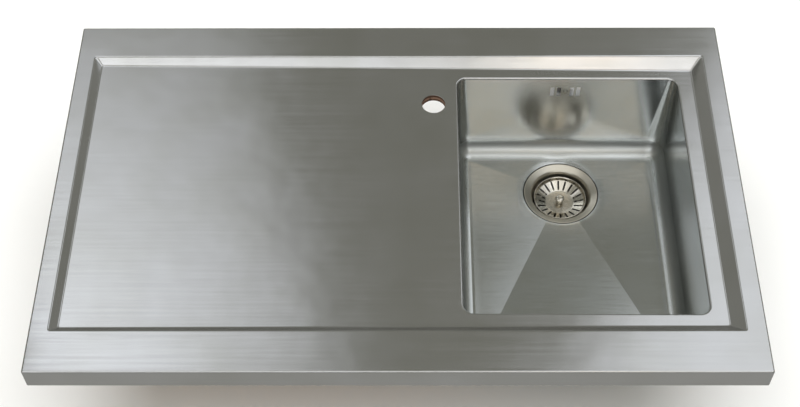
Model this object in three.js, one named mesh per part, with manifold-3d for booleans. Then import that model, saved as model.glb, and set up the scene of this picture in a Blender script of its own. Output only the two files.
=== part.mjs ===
// Sit-on kitchen sink top in stainless steel: one pressed sheet with a folded edge, a sloping
// drainboard tray and a deep bowl on the right, on a timber frame, with its basket strainer
// waste and its overflow.
// Millimetres. +X right, +Y back, +Z up. The origin is the plan centre on the plane that
// rests on the cabinet.

import * as THREE from 'three';
import { mergeVertices } from 'three/addons/utils/BufferGeometryUtils.js';
import Module from 'manifold-3d';

// ---- driving dimensions: the top ----
const topLength = 1000;
const topDepth = 620;
const edgeHeight = 38;
const sheet = 1.2;
const foldRadius = 2.5;
const returnWidth = 15;
const borderLeft = 26.5;
const borderRight = 28;
const borderFront = 64;
const borderBack = 61;
const trayDepthLeft = 10.2;
const trayDepthRight = 16.7;
const trayCornerRadius = 4;
const bendSoftening = 1.2;
const tapHoleDiameter = 36;
const tapHoleFromBowl = 37.5;
const tapHoleFromBack = 146;

// ---- driving dimensions: the bowl, set in from the borders ----
const bowlWidth = 340;
const bowlInFromRight = 41;
const bowlInFromFront = 36.5;
const bowlInFromBack = 33.5;
const bowlCornerRadius = 15;
const bowlDeepCornerRadius = 28;
const bowlDepth = 176;
const bowlSheet = 1;
const rimRadius = 3;
const rimLip = 8;
const floorFillet = 20;
const floorFall = 2.4;
const seatShoulder = 6;
const damping = { near: 15, far: 150, margin: 18, thickness: 2 };

// ---- driving dimensions: the waste ----
const wasteFromBack = 89;
const flangeRadius = 59;
const flangeDish = 5;
const cupMouthRadius = 47;
const cupSheet = 1;
const cupDepth = 45;
const cupFloorRadius = 44;
const cupCentreRadius = 5.5;
const cupOutletRadius = 5.5;
const cupOutletCircle = 24;
const cupOutlets = 8;
const sealThickness = 1.4;
const seatMargin = 1;
const bodyWall = 2.6;
const bodyCone = 22;
const outletRadius = 23.9;
const outletWall = 3.4;
const outletLength = 30;
const bodyFlange = 5;
const ribThickness = 3;
const ribs = 4;
const ribInset = 4;
const branchDrop = 2;
const clampShankRadius = 5;
const clampHeadRadius = 9;
const clampHeadHeight = 3;
const clampLength = 34;
const clampTipShort = 4;
const clampBore = 3.9;
const clampBoreDepth = 16;

// ---- driving dimensions: the strainer basket ----
const basketRimRadius = 42.2;
const basketRimDrop = 11.5;
const basketSheet = 0.8;
const basketWall = 6.4;
const basketSlopeRadius = 39.6;
const basketSlopeDrop = 7.2;
const basketDiscRadius = 22.6;
const basketSlots = 20;
const slotWidth = 2.8;
const knobRadius = 7.8;
const knobHeight = 12;
const stemRadius = 2.9;
const stemCollar = 2.4;
const stemBelowCup = 9;
const stopperRadius = 35;
const stopperThickness = 5.5;

// ---- driving dimensions: the overflow ----
const overflowDrop = 23;
const slotPairSpacing = 30.4;
const slotSpacing = 10.4;
const overflowSlotWidth = 6.4;
const overflowSlotHeight = 20.8;
const overflowSlotCorner = 1.4;
const housingWidth = 62;
const housingHeight = 33;
const housingDepth = 17;
const housingWall = 2.2;
const housingRadius = 6;
const housingBossFloor = 4;
const gasketThickness = 1.6;
const gasketBand = 4;
const gasketCorner = 3;
const overflowScrewRadius = 2.5;
const overflowHeadRadius = 4.2;
const overflowHeadHeight = 2.2;
const pipeRadius = 12.5;
const pipeWall = 1.8;
const pipeBend = 32;
const pipeFromHousingFace = 3;
const pipeSeal = { width: 2.2, half: 3, play: 0.2 };
const spigotReach = 14;
const nutRadius = 17.5;
const nutLength = 15;
const nutRibs = 12;
const nutGrip = 1.2;

// ---- driving dimensions: the timber ----
const timberDrop = 10;
const battenFront = 58;
const battenBack = 55;
const battenSide = 23;
const bearerWidth = 45;
const bearerFromLeft = 200;
const bearerFromBowl = 97;
const bearerScrewFromBatten = 130;
const screwRadius = 2;
const screwHeadRadius = 4;
const screwLength = 20;
const screwHeadSink = 0.5;

// ---- clearances ----
const gap = 0.3;
const weldGap = 0.3;
const boardCutClearance = 4;
const boardTapClearance = 0.5;

// ---- how far a cutting tool reaches past the faces that it cuts ----
const overcut = 4;

// ---- facets round the nested pieces of the waste ----
const wasteFacets = 36;

const wasm = await Module();
wasm.setup();

// ======== solids ========

// A geometry with only positions, shared vertices and no collapsed triangles.
function welded(geometry) {
  const plain = geometry.clone();
  plain.deleteAttribute('normal');
  plain.deleteAttribute('uv');
  const merged = mergeVertices(plain, 1e-4);
  const index = merged.index.array;
  const kept = [];
  for (let i = 0; i < index.length; i += 3) {
    const [a, b, c] = [index[i], index[i + 1], index[i + 2]];
    if (a !== b && b !== c && c !== a) kept.push(a, b, c);
  }
  merged.setIndex(kept);
  return facingOut(merged);
}

// Turns every triangle round if the closed surface encloses a negative volume.
function facingOut(geometry) {
  const index = geometry.index.array;
  const place = geometry.attributes.position;
  const [a, b, c] = [new THREE.Vector3(), new THREE.Vector3(), new THREE.Vector3()];
  let volume = 0;
  for (let i = 0; i < index.length; i += 3) {
    a.fromBufferAttribute(place, index[i]);
    b.fromBufferAttribute(place, index[i + 1]);
    c.fromBufferAttribute(place, index[i + 2]);
    volume += a.dot(b.cross(c));
  }
  if (volume < 0) {
    const turned = [];
    for (let i = 0; i < index.length; i += 3) turned.push(index[i], index[i + 2], index[i + 1]);
    geometry.setIndex(turned);
  }
  return geometry;
}

function toSolid(geometry) {
  const clean = welded(geometry);
  const mesh = new wasm.Mesh({
    numProp: 3,
    vertProperties: new Float32Array(clean.attributes.position.array),
    triVerts: new Uint32Array(clean.index.array),
  });
  return new wasm.Manifold(mesh);
}

function toGeometry(solid) {
  const mesh = solid.getMesh();
  const geometry = new THREE.BufferGeometry();
  geometry.setAttribute('position', new THREE.BufferAttribute(new Float32Array(mesh.vertProperties), 3));
  geometry.setIndex(Array.from(mesh.triVerts));
  return geometry;
}

function cut(base, ...tools) {
  let solid = toSolid(base);
  for (const tool of tools) solid = solid.subtract(toSolid(tool));
  return toGeometry(solid);
}

function join(base, ...others) {
  let solid = toSolid(base);
  for (const other of others) solid = solid.add(toSolid(other));
  return toGeometry(solid);
}

// A profile of [radius, height] points turned round the Z axis.
function revolve(profile, steps = 36) {
  const points = profile.map(([radius, height]) => new THREE.Vector2(radius, height));
  return new THREE.LatheGeometry(points, steps).rotateX(Math.PI / 2);
}

// The same for a ring: the profile closes on itself.
function revolveRing(profile, steps = 36) {
  return revolve([...profile, profile[0]], steps);
}

function block(left, right, front, back, bottom, top) {
  const box = new THREE.BoxGeometry(right - left, back - front, top - bottom);
  return box.translate((left + right) / 2, (front + back) / 2, (bottom + top) / 2);
}

function cylinder(radius, bottom, top, steps = 24) {
  const geometry = new THREE.CylinderGeometry(radius, radius, top - bottom, steps);
  return geometry.rotateX(Math.PI / 2).translate(0, 0, (top + bottom) / 2);
}

// A rectangle with round corners, as a shape about its own centre.
function roundedShape(width, height, radius) {
  const [x, y] = [width / 2, height / 2];
  const shape = new THREE.Shape();
  shape.absarc(-x + radius, -y + radius, radius, Math.PI, Math.PI * 1.5);
  shape.absarc(x - radius, -y + radius, radius, Math.PI * 1.5, Math.PI * 2);
  shape.absarc(x - radius, y - radius, radius, 0, Math.PI / 2);
  shape.absarc(-x + radius, y - radius, radius, Math.PI / 2, Math.PI);
  shape.closePath();
  return shape;
}

function plate(shape, thickness, steps = 4) {
  return new THREE.ExtrudeGeometry(shape, { depth: thickness, bevelEnabled: false, curveSegments: steps });
}

// A shape in X and Z, given depth along +Y from the plane y = 0.
function uprightPlate(shape, thickness, steps = 4) {
  return plate(shape, thickness, steps).rotateX(Math.PI / 2).translate(0, thickness, 0);
}

// ======== rings: outlines with the same count of points, joined by strips ========

// Four sides and four round corners, anticlockwise from the front left corner. The points on a
// side lie at equal angles seen from the focus, so that rings round one focus line up.
function outline(sides, radius, focus, cornerSteps, sideSteps, heightAt) {
  const { left, right, front, back } = sides;
  const corners = [
    [left + radius, front + radius, Math.PI],
    [right - radius, front + radius, Math.PI * 1.5],
    [right - radius, back - radius, 0],
    [left + radius, back - radius, Math.PI * 0.5],
  ];
  const arcs = corners.map(([x, y, start]) => {
    const arc = [];
    for (let i = 0; i <= cornerSteps; i += 1) {
      const angle = start + (i / cornerSteps) * (Math.PI / 2);
      arc.push(new THREE.Vector2(x + radius * Math.cos(angle), y + radius * Math.sin(angle)));
    }
    return arc;
  });
  const points = [];
  arcs.forEach((arc, k) => {
    points.push(...arc);
    points.push(...pointsBetween(arc[cornerSteps], arcs[(k + 1) % 4][0], focus, sideSteps[k]));
  });
  return points.map((p) => new THREE.Vector3(p.x, p.y, heightAt(p.x, p.y)));
}

function pointsBetween(from, to, focus, steps) {
  const start = Math.atan2(from.y - focus.y, from.x - focus.x);
  let turn = Math.atan2(to.y - focus.y, to.x - focus.x) - start;
  if (turn < 0) turn += Math.PI * 2;
  const along = to.clone().sub(from);
  const offset = from.clone().sub(focus);
  const points = [];
  for (let i = 1; i < steps; i += 1) {
    const angle = start + (turn * i) / steps;
    const ray = new THREE.Vector2(Math.cos(angle), Math.sin(angle));
    const share = ray.cross(offset) / -ray.cross(along);
    points.push(from.clone().addScaledVector(along, share));
  }
  return points;
}

// A circle whose points lie on the rays from the focus to another ring's points.
function circleLike(ring, focus, radius, heightAt) {
  return ring.map((point) => {
    const angle = Math.atan2(point.y - focus.y, point.x - focus.x);
    const [x, y] = [focus.x + radius * Math.cos(angle), focus.y + radius * Math.sin(angle)];
    return new THREE.Vector3(x, y, heightAt(x, y));
  });
}

// A closed body from rings: the last ring joins the first, or each end is closed by a fan.
function bodyFromRings(rings, closesOnItself) {
  const count = rings[0].length;
  const positions = rings.flat().flatMap((p) => [p.x, p.y, p.z]);
  const index = [];
  const strips = closesOnItself ? rings.length : rings.length - 1;
  for (let k = 0; k < strips; k += 1) {
    const [a, b] = [k * count, ((k + 1) % rings.length) * count];
    for (let i = 0; i < count; i += 1) {
      const j = (i + 1) % count;
      index.push(a + i, a + j, b + j, a + i, b + j, b + i);
    }
  }
  if (!closesOnItself) {
    const last = (rings.length - 1) * count;
    for (let i = 1; i < count - 1; i += 1) {
      index.push(0, i + 1, i, last, last + i, last + i + 1);
    }
  }
  const geometry = new THREE.BufferGeometry();
  geometry.setAttribute('position', new THREE.Float32BufferAttribute(positions, 3));
  geometry.setIndex(index);
  return welded(geometry);
}

// Angles from 0 to a right angle in equal steps.
function quarter(steps) {
  return Array.from({ length: steps + 1 }, (_, i) => (i / steps) * (Math.PI / 2));
}

// ======== the form of the tray and the bowl ========

const outer = { left: -topLength / 2, right: topLength / 2, front: -topDepth / 2, back: topDepth / 2 };
const bowlRight = outer.right - borderRight - bowlInFromRight;
const bowl = {
  left: bowlRight - bowlWidth,
  right: bowlRight,
  front: outer.front + borderFront + bowlInFromFront,
  back: outer.back - borderBack - bowlInFromBack,
};
const bowlX = (bowl.left + bowl.right) / 2;
const bowlY = (bowl.front + bowl.back) / 2;
const bowlLength = bowl.back - bowl.front;
const bowlFocus = new THREE.Vector2(bowlX, bowlY);
const tapHole = { x: bowl.left - tapHoleFromBowl, y: outer.back - tapHoleFromBack };
const drain = new THREE.Vector2(bowlX, bowl.back - wasteFromBack);

const trayFootLeft = outer.left + borderLeft + trayDepthLeft;
const trayFootRight = outer.right - borderRight - trayDepthRight;

// How far the tray's floor lies below the border, and its height.
function trayDepth(x) {
  const share = (x - trayFootLeft) / (trayFootRight - trayFootLeft);
  return trayDepthLeft + (trayDepthRight - trayDepthLeft) * share;
}

function trayFloor(x) {
  return edgeHeight - trayDepth(x);
}

const lipBottom = trayFloor(bowlX) - rimLip;
const bowlTop = lipBottom - weldGap;
const bowlFloor = trayFloor(bowlX) - bowlDepth;

function grown(sides, by) {
  return {
    left: sides.left - by,
    right: sides.right + by,
    front: sides.front - by,
    back: sides.back + by,
  };
}

// The bowl's floor falls in four planes, from its edges to the drain, with creases to the corners.
function floorHeight(x, y) {
  const edge = grown(bowl, -floorFillet);
  const shares = [
    (x - edge.left) / (drain.x - edge.left),
    (edge.right - x) / (edge.right - drain.x),
    (y - edge.front) / (drain.y - edge.front),
    (edge.back - y) / (edge.back - drain.y),
  ];
  return bowlFloor - floorFall * Math.max(0, Math.min(...shares));
}

const seatOuter = flangeRadius + seatMargin;
const drainRim = floorHeight(drain.x, drain.y - seatOuter) - gap;
const dishSlope = flangeDish / (flangeRadius - cupMouthRadius);

// Layers of the waste under the flange: how far each lies below the flange's upper face.
const sealTop = cupSheet + gap;
const seatTop = sealTop + sealThickness + gap;
const lowerSealTop = seatTop + bowlSheet + gap;
const bodyTop = lowerSealTop + sealThickness + gap;

// The dished height at a radius, for a layer of the stack.
function dished(radius, layer) {
  return drainRim - layer - dishSlope * (flangeRadius - radius);
}

// ======== the pressed top ========

const topCornerSteps = 3;
const topSideSteps = [7, 5, 7, 5];

function topRing(sides, radius, heightAt) {
  return outline(sides, radius, bowlFocus, topCornerSteps, topSideSteps, heightAt);
}

// A ring parallel to the outer edge.
function edgeRing(inset, height) {
  const radius = Math.max(0.4, foldRadius - inset);
  return topRing(grown(outer, -inset), radius, () => height);
}

// A ring on the 45 degree bevel that runs round the tray. The foot of the bevel goes in and
// down by the tray's depth, which grows from left to right. A positive reach lies further in.
function trayRing(atFoot, reach, under) {
  const shift = reach - under * Math.tan(Math.PI / 8);
  const sides = {
    left: outer.left + borderLeft + (atFoot ? trayDepthLeft : 0) + shift,
    right: outer.right - borderRight - (atFoot ? trayDepthRight : 0) - shift,
    front: outer.front + borderFront + shift,
    back: outer.back - borderBack - shift,
  };
  const middle = (sides.front + sides.back) / 2;
  const half = (sides.back - sides.front) / 2;
  const radius = Math.max(0.4, trayCornerRadius - (atFoot ? 1 : 0));
  const ring = topRing(sides, radius, () => 0);
  for (const point of ring) {
    const depth = atFoot ? trayDepth(point.x) : 0;
    const drop = atFoot ? depth + Math.min(reach, 0) : Math.max(reach, 0);
    point.z = edgeHeight - drop - under;
    point.y -= ((point.y - middle) / half) * depth;
  }
  return ring;
}

// A ring round the bowl's opening, at a distance outside it.
function rimRing(outside, heightAt) {
  return topRing(grown(bowl, outside), bowlCornerRadius + outside, heightAt);
}

function makeTopSheet() {
  const rings = [];
  const innerFold = foldRadius - sheet;
  const softOnSlope = bendSoftening * Math.SQRT1_2;
  rings.push(edgeRing(returnWidth, 0));
  for (const a of quarter(2)) {
    rings.push(edgeRing(foldRadius * (1 - Math.sin(a)), foldRadius * (1 - Math.cos(a))));
  }
  for (const a of quarter(3)) {
    const [inset, height] = [foldRadius * (1 - Math.cos(a)), edgeHeight - foldRadius * (1 - Math.sin(a))];
    rings.push(edgeRing(inset, height));
  }
  rings.push(trayRing(false, -bendSoftening, 0));
  rings.push(trayRing(false, softOnSlope, 0));
  rings.push(trayRing(true, -softOnSlope, 0));
  rings.push(trayRing(true, bendSoftening, 0));
  for (const a of quarter(3)) {
    const outside = rimRadius * (1 - Math.sin(a));
    rings.push(rimRing(outside, (x) => trayFloor(x) - rimRadius * (1 - Math.cos(a))));
  }
  rings.push(rimRing(0, () => lipBottom));
  rings.push(rimRing(sheet, () => lipBottom));
  const innerRim = rimRadius - sheet;
  for (const a of quarter(2).reverse()) {
    const outside = rimRadius - innerRim * Math.sin(a);
    rings.push(rimRing(outside, (x) => trayFloor(x) - rimRadius + innerRim * Math.cos(a)));
  }
  rings.push(trayRing(true, 0, sheet));
  rings.push(trayRing(false, 0, sheet));
  for (const a of quarter(2).reverse()) {
    const inset = sheet + innerFold * (1 - Math.cos(a));
    rings.push(edgeRing(inset, edgeHeight - sheet - innerFold * (1 - Math.sin(a))));
  }
  for (const a of quarter(2).reverse()) {
    rings.push(edgeRing(sheet + innerFold * (1 - Math.sin(a)), sheet + innerFold * (1 - Math.cos(a))));
  }
  rings.push(edgeRing(returnWidth, sheet));
  const pressed = bodyFromRings(rings, true);
  const punch = cylinder(tapHoleDiameter / 2, 0, edgeHeight, 32);
  return cut(pressed, punch.translate(tapHole.x, tapHole.y, 0));
}

// ======== the bowl ========

const bowlCornerSteps = 4;
const bowlSideSteps = [6, 7, 10, 7];

// A ring on the bowl's walls or floor, moved out of the inner face by an offset.
function bowlRing(inset, radius, height) {
  return outline(grown(bowl, -inset), radius, drain, bowlCornerSteps, bowlSideSteps, () => height);
}

const wallFoot = bowlFloor + floorFillet;

// The rings of one face of the wall. Its corners open out towards the foot.
function wallFace(offset) {
  return [
    bowlRing(-offset, bowlCornerRadius + offset, bowlTop),
    bowlRing(-offset, bowlDeepCornerRadius + offset, wallFoot + weldGap),
  ];
}

// The rings of one face of the base, from the foot of the wall to the drain hole.
function baseFace(offset) {
  const rings = [];
  const filletRadius = floorFillet + offset;
  for (const a of quarter(4)) {
    const inset = floorFillet - filletRadius * Math.cos(a);
    const radius = Math.max(1, bowlDeepCornerRadius - inset);
    rings.push(bowlRing(inset, radius, wallFoot - filletRadius * Math.sin(a)));
  }
  const foot = rings[rings.length - 1];
  const circle = (radius, heightAt) => rings.push(circleLike(foot, drain, radius, heightAt));
  circle(seatOuter + seatShoulder, (x, y) => floorHeight(x, y) - offset);
  circle(seatOuter + 1, () => drainRim - offset);
  circle(seatOuter + 0.5, () => drainRim - offset - 0.3);
  circle(seatOuter + offset * 0.5, () => dished(seatOuter, seatTop) - offset);
  circle(cupMouthRadius + seatMargin, () => dished(cupMouthRadius + seatMargin, seatTop) - offset);
  return rings;
}

const wallOuter = bowl.back + bowlSheet;
const overflowHeight = bowlTop - overflowDrop;

function overflowSlotCentres() {
  const centres = [];
  for (const side of [-1, 1]) {
    for (const place of [-0.5, 0.5]) centres.push(bowlX + (side * slotPairSpacing) / 2 + place * slotSpacing);
  }
  return centres;
}

// A closed shell between the inner and the outer rings of a face.
function shellOf(face) {
  return bodyFromRings([...face(0), ...face(bowlSheet).reverse()], true);
}

// The wall is one band of sheet, seam welded to the rim above and to the base below.
function makeBowlWall() {
  const slot = roundedShape(overflowSlotWidth, overflowSlotHeight, overflowSlotCorner);
  const cutters = overflowSlotCentres().map((x) =>
    uprightPlate(slot, 2 * overcut, 3).translate(x, bowl.back - overcut, overflowHeight),
  );
  const screwHole = cylinder(overflowScrewRadius + gap, -overcut, overcut, 12)
    .rotateX(Math.PI / 2)
    .translate(bowlX, bowl.back, overflowHeight);
  return cut(shellOf(wallFace), ...cutters, screwHole);
}

// The base is pressed: a rounded foot, four planes with creases, and a dished seat for the waste.
function makeBowlBase() {
  return shellOf(baseFace);
}

// A pad bonded under the long front plane of the floor, between its two creases.
function makeDampingPad() {
  const edge = grown(bowl, -floorFillet);
  const corners = [];
  for (const [way, sides] of [[damping.near, [-1, 1]], [damping.far, [1, -1]]]) {
    const y = edge.front + way;
    const share = way / (drain.y - edge.front);
    for (const side of sides) {
      const crease = bowlX + (side * (1 - share) * (edge.right - edge.left)) / 2;
      corners.push([crease - side * damping.margin, y]);
    }
  }
  const under = (depth) => corners.map(([x, y]) => {
    return new THREE.Vector3(x, y, floorHeight(x, y) - bowlSheet - gap - depth);
  });
  return bodyFromRings([under(damping.thickness), under(0)], false);
}

// ======== the timber under the top ========

// Square timber keeps clear of the round inside of the fold.
const insideApron = sheet + (foldRadius - sheet) / 2;
const undersideOfBorder = edgeHeight - insideApron;
const aboveReturn = insideApron;

const board = {
  left: trayFootLeft - sheet * Math.tan(Math.PI / 8) + gap,
  right: trayFootRight + sheet * Math.tan(Math.PI / 8) - gap,
};

// The core board lies under the tray. Its top is cut to the fall of the tray, and its underside
// is level. It goes round the bowl and the tap hole.
function makeCoreBoard() {
  const steps = [1, 1, 1, 1];
  const frontLine = outer.front + borderFront;
  const backLine = outer.back - borderBack;
  const ring = (heightAt) => {
    const centre = new THREE.Vector2((board.left + board.right) / 2, (frontLine + backLine) / 2);
    const sides = { left: board.left, right: board.right, front: frontLine, back: backLine };
    const points = outline(sides, 1, centre, 1, steps, heightAt);
    for (const point of points) {
      const inward = trayDepth(point.x) + gap;
      point.y += point.y < centre.y ? inward : -inward;
    }
    return points;
  };
  const slab = bodyFromRings([ring(() => timberDrop), ring((x) => trayFloor(x) - sheet - gap)], false);
  const clearance = sheet + boardCutClearance;
  const opening = plate(
    roundedShape(bowlWidth + 2 * clearance, bowlLength + 2 * clearance, bowlCornerRadius + clearance),
    edgeHeight,
    5,
  ).translate(bowlX, bowlY, 0);
  const tapBore = cylinder(tapHoleDiameter / 2 + boardTapClearance, 0, edgeHeight, 32);
  const pilots = bearerScrewPlaces().map(([x, y]) =>
    cylinder(screwRadius + gap, 0, screwLength + gap, 12).translate(x, y, 0),
  );
  return cut(slab, opening, tapBore.translate(tapHole.x, tapHole.y, 0), ...pilots);
}

const frontBattenInner = outer.front + insideApron + battenFront;
const backBattenInner = outer.back - insideApron - battenBack;

function makeFrontBatten() {
  const [left, right] = [outer.left + insideApron, outer.right - insideApron];
  return block(left, right, outer.front + insideApron, frontBattenInner, aboveReturn, undersideOfBorder);
}

function makeBackBatten() {
  const [left, right] = [outer.left + insideApron, outer.right - insideApron];
  return block(left, right, backBattenInner, outer.back - insideApron, aboveReturn, undersideOfBorder);
}

function makeSideBatten(side) {
  const edge = side * (topLength / 2 - insideApron);
  const inner = edge - side * battenSide;
  const [left, right] = [Math.min(edge, inner), Math.max(edge, inner)];
  return block(left, right, frontBattenInner + gap, backBattenInner - gap, aboveReturn, undersideOfBorder);
}

const bearerX = [outer.left + bearerFromLeft, bowl.left - bearerFromBowl];

function bearerScrewPlaces() {
  const rows = [frontBattenInner + bearerScrewFromBatten, backBattenInner - bearerScrewFromBatten];
  return bearerX.flatMap((x) => rows.map((y) => [x, y]));
}

// A bearer runs from the front batten to the back one, under the board.
function makeBearer(x) {
  const [left, right] = [x - bearerWidth / 2, x + bearerWidth / 2];
  const bar = block(left, right, frontBattenInner + gap, backBattenInner - gap, 0, timberDrop - gap);
  const holes = bearerScrewPlaces()
    .filter((place) => place[0] === x)
    .map((place) => bearerScrewSolid(gap).translate(place[0], place[1], 0));
  return cut(bar, ...holes);
}

// A countersunk screw, point up, with its head in the bearer's underside. A positive growth
// gives the hole that it sits in.
function bearerScrewSolid(growth) {
  const head = screwHeadRadius + growth;
  const shank = screwRadius + growth;
  const headFoot = screwHeadSink + growth * 0.4;
  const headTop = headFoot + (screwHeadRadius - screwRadius);
  const bottom = growth > 0 ? -overcut : screwHeadSink;
  const shoulder = growth > 0 ? timberDrop + overcut : screwLength - 3;
  return revolve([
    [0, bottom],
    [head, bottom],
    [head, headFoot],
    [shank, headTop],
    [shank, shoulder],
    [0, growth > 0 ? shoulder : screwLength],
  ], 12);
}

// ======== the waste, in heights of the model and centred on the drain ========

const cupFloor = drainRim - cupDepth;
const cupFloorUnder = cupFloor - cupSheet;

// The pressed cup: a dished flange, a tapering wall and a floor with a ring of outlets.
function makeWasteCup() {
  const mouth = dished(cupMouthRadius, 0);
  const faces = (offset) => [
    [flangeRadius, drainRim - offset],
    [cupMouthRadius + 1.6, dished(cupMouthRadius + 1.6, offset)],
    [cupMouthRadius - 0.1 + offset * 0.6, mouth - 1 - offset * 0.8],
    [cupMouthRadius - 0.8 + offset, mouth - 3],
    [cupFloorRadius + offset, cupFloor + 7],
    [cupFloorRadius - 1.6 + offset * 0.7, cupFloor + 2.2 - offset * 0.7],
    [cupFloorRadius - 5.5, cupFloor - offset],
    [cupCentreRadius, cupFloor - offset],
  ];
  const shell = revolveRing([...faces(0), ...faces(cupSheet).reverse()], wasteFacets);
  const outlets = [];
  for (let i = 0; i < cupOutlets; i += 1) {
    const angle = (i / cupOutlets) * Math.PI * 2;
    const [x, y] = [cupOutletCircle * Math.cos(angle), cupOutletCircle * Math.sin(angle)];
    outlets.push(cylinder(cupOutletRadius, cupFloor - overcut, cupFloor + overcut, 12).translate(x, y, 0));
  }
  return cut(shell, ...outlets);
}

// A flat ring that follows the dish of the flange.
function makeSeal(layer, innerRadius, outerRadius) {
  return revolveRing([
    [innerRadius, dished(innerRadius, layer)],
    [outerRadius, dished(outerRadius, layer)],
    [outerRadius, dished(outerRadius, layer + sealThickness)],
    [innerRadius, dished(innerRadius, layer + sealThickness)],
  ], wasteFacets);
}

const bodyInner = cupMouthRadius + seatMargin + 1;
const bodyFloor = cupFloorUnder - 6;
const coneFoot = bodyFloor - bodyCone;
const outletInner = outletRadius - outletWall;
const outletEnd = coneFoot - outletLength;
const bossTop = cupFloorUnder - gap;
const bossBottom = bossTop - clampLength;
const bossRadius = clampShankRadius + 4;
const branchHeight = cupFloor - branchDrop;
const branchReach = bodyInner + bodyWall + spigotReach;

// The moulded body: a clamping flange, a chamber round the cup, a cone to the tail, a boss on
// ribs for the clamp screw, and a branch at the back for the overflow.
function makeWasteBody() {
  const flangeFoot = dished(bodyInner, bodyTop) - bodyFlange;
  const shell = revolveRing([
    [flangeRadius - 1, dished(flangeRadius - 1, bodyTop)],
    [bodyInner, dished(bodyInner, bodyTop)],
    [bodyInner, bodyFloor],
    [outletInner, coneFoot],
    [outletRadius, coneFoot],
    [bodyInner + bodyWall, bodyFloor],
    [bodyInner + bodyWall, flangeFoot],
    [flangeRadius - 1, flangeFoot + 2],
  ], wasteFacets);
  const boss = cylinder(bossRadius, bossBottom, bossTop, 20);
  const arms = [];
  for (let i = 0; i < ribs; i += 1) {
    const reach = bodyInner + bodyWall / 2;
    const half = ribThickness / 2;
    const arm = block(0, reach, -half, half, coneFoot, bossTop - ribInset);
    arms.push(arm.rotateZ(((i + 0.5) / ribs) * Math.PI * 2));
  }
  const chamber = revolve([
    [0, bossTop + overcut],
    [bodyInner + bodyWall / 2, bossTop + overcut],
    [bodyInner + bodyWall / 2, bodyFloor],
    [outletInner + bodyWall / 2, coneFoot],
    [outletInner + bodyWall / 2, outletEnd],
    [0, outletEnd],
  ], wasteFacets);
  const branch = cylinder(pipeRadius, bodyInner, branchReach, 20)
    .rotateX(-Math.PI / 2)
    .translate(0, 0, branchHeight);
  const branchBore = cylinder(pipeRadius - pipeWall, bodyInner - 2 * overcut, branchReach + overcut, 20)
    .rotateX(-Math.PI / 2)
    .translate(0, 0, branchHeight);
  let spider = toSolid(boss);
  for (const arm of arms) spider = spider.add(toSolid(arm));
  spider = spider.intersect(toSolid(chamber));
  const whole = toSolid(shell).add(toSolid(branch)).subtract(toSolid(branchBore)).add(spider);
  const screwBore = cylinder(clampShankRadius + gap, bossBottom - overcut, bossTop + overcut, 20);
  return toGeometry(whole.subtract(toSolid(screwBore)));
}

// The outlet tail: a plain tube, solvent welded under the cone.
function makeWasteTail() {
  const top = coneFoot - gap;
  return revolveRing([
    [outletInner, top],
    [outletInner, outletEnd],
    [outletRadius, outletEnd],
    [outletRadius, top],
  ], wasteFacets);
}

// The clamp screw draws the cup down onto the body. Its head is hollow and guides the stem.
function makeClampScrew() {
  const seat = cupFloor + gap;
  const boreFoot = seat - clampBoreDepth;
  const tip = bossBottom + clampTipShort;
  return revolveRing([
    [clampBore, seat + clampHeadHeight],
    [clampHeadRadius - 1, seat + clampHeadHeight],
    [clampHeadRadius, seat + clampHeadHeight - 1],
    [clampHeadRadius, seat],
    [clampShankRadius - 0.1, seat],
    [clampShankRadius - 0.1, tip],
    [0.02, tip],
    [0.02, boreFoot],
    [clampBore, boreFoot],
  ], 20);
}

// ======== the strainer basket ========

const basketRim = drainRim - basketRimDrop;
const slopeTop = basketRim - basketWall;
const discHeight = slopeTop - basketSlopeDrop;

// A rim, a short wall, a slotted slope and a flat disc, pressed from one sheet.
function makeBasket() {
  const faces = (under) => [
    [basketRimRadius - under * 0.2, basketRim - under],
    [basketRimRadius - 1.4 + under * 0.5, basketRim - 0.3 - under * 0.6],
    [basketRimRadius - 2.1 + under * 0.9, basketRim - 2.4],
    [basketSlopeRadius + under * 0.8, slopeTop - under * 0.4],
    [basketDiscRadius + under * 0.3, discHeight - under],
    [basketDiscRadius - 3, discHeight + 0.4 - under],
    [stemRadius + gap, discHeight + 1 - under],
  ];
  const dish = revolveRing([...faces(0), ...faces(basketSheet).reverse()], 40);
  const slots = [];
  const middle = (basketDiscRadius + basketSlopeRadius) / 2;
  const length = basketSlopeRadius - basketDiscRadius - 1.2;
  for (let i = 0; i < basketSlots; i += 1) {
    const [inner, outerEnd, half] = [middle - length / 2, middle + length / 2, slotWidth / 2];
    const slot = block(inner, outerEnd, -half, half, discHeight - overcut, slopeTop + overcut);
    slots.push(slot.rotateZ((i / basketSlots) * Math.PI * 2));
  }
  let solid = toSolid(dish);
  for (const slot of slots) solid = solid.subtract(toSolid(slot));
  return toGeometry(solid);
}

const knobFoot = discHeight + 1 + gap;
const knobTop = knobFoot + knobHeight;
const stemTop = knobFoot + knobHeight * 0.55;

// The pull knob is hollow from below, where the stem ends in it.
function makeKnob() {
  const boreTop = stemTop + gap;
  return revolve([
    [0, knobTop],
    [knobRadius * 0.55, knobTop - 0.4],
    [knobRadius * 0.92, knobTop - 1.8],
    [knobRadius, knobTop - 3.6],
    [knobRadius * 0.86, knobTop - 5.2],
    [knobRadius * 0.6, knobTop - 6.4],
    [knobRadius * 0.56, knobFoot + 2],
    [knobRadius * 0.72, knobFoot],
    [stemRadius + gap, knobFoot],
    [stemRadius + gap, boreTop],
    [0, boreTop],
  ], 20);
}

const stopperBottom = cupFloor + clampHeadHeight + 2 * gap;
const stopperTop = stopperBottom + stopperThickness;
const stemTip = cupFloor - stemBelowCup;
const collarRadius = stemRadius + stemCollar;

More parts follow.
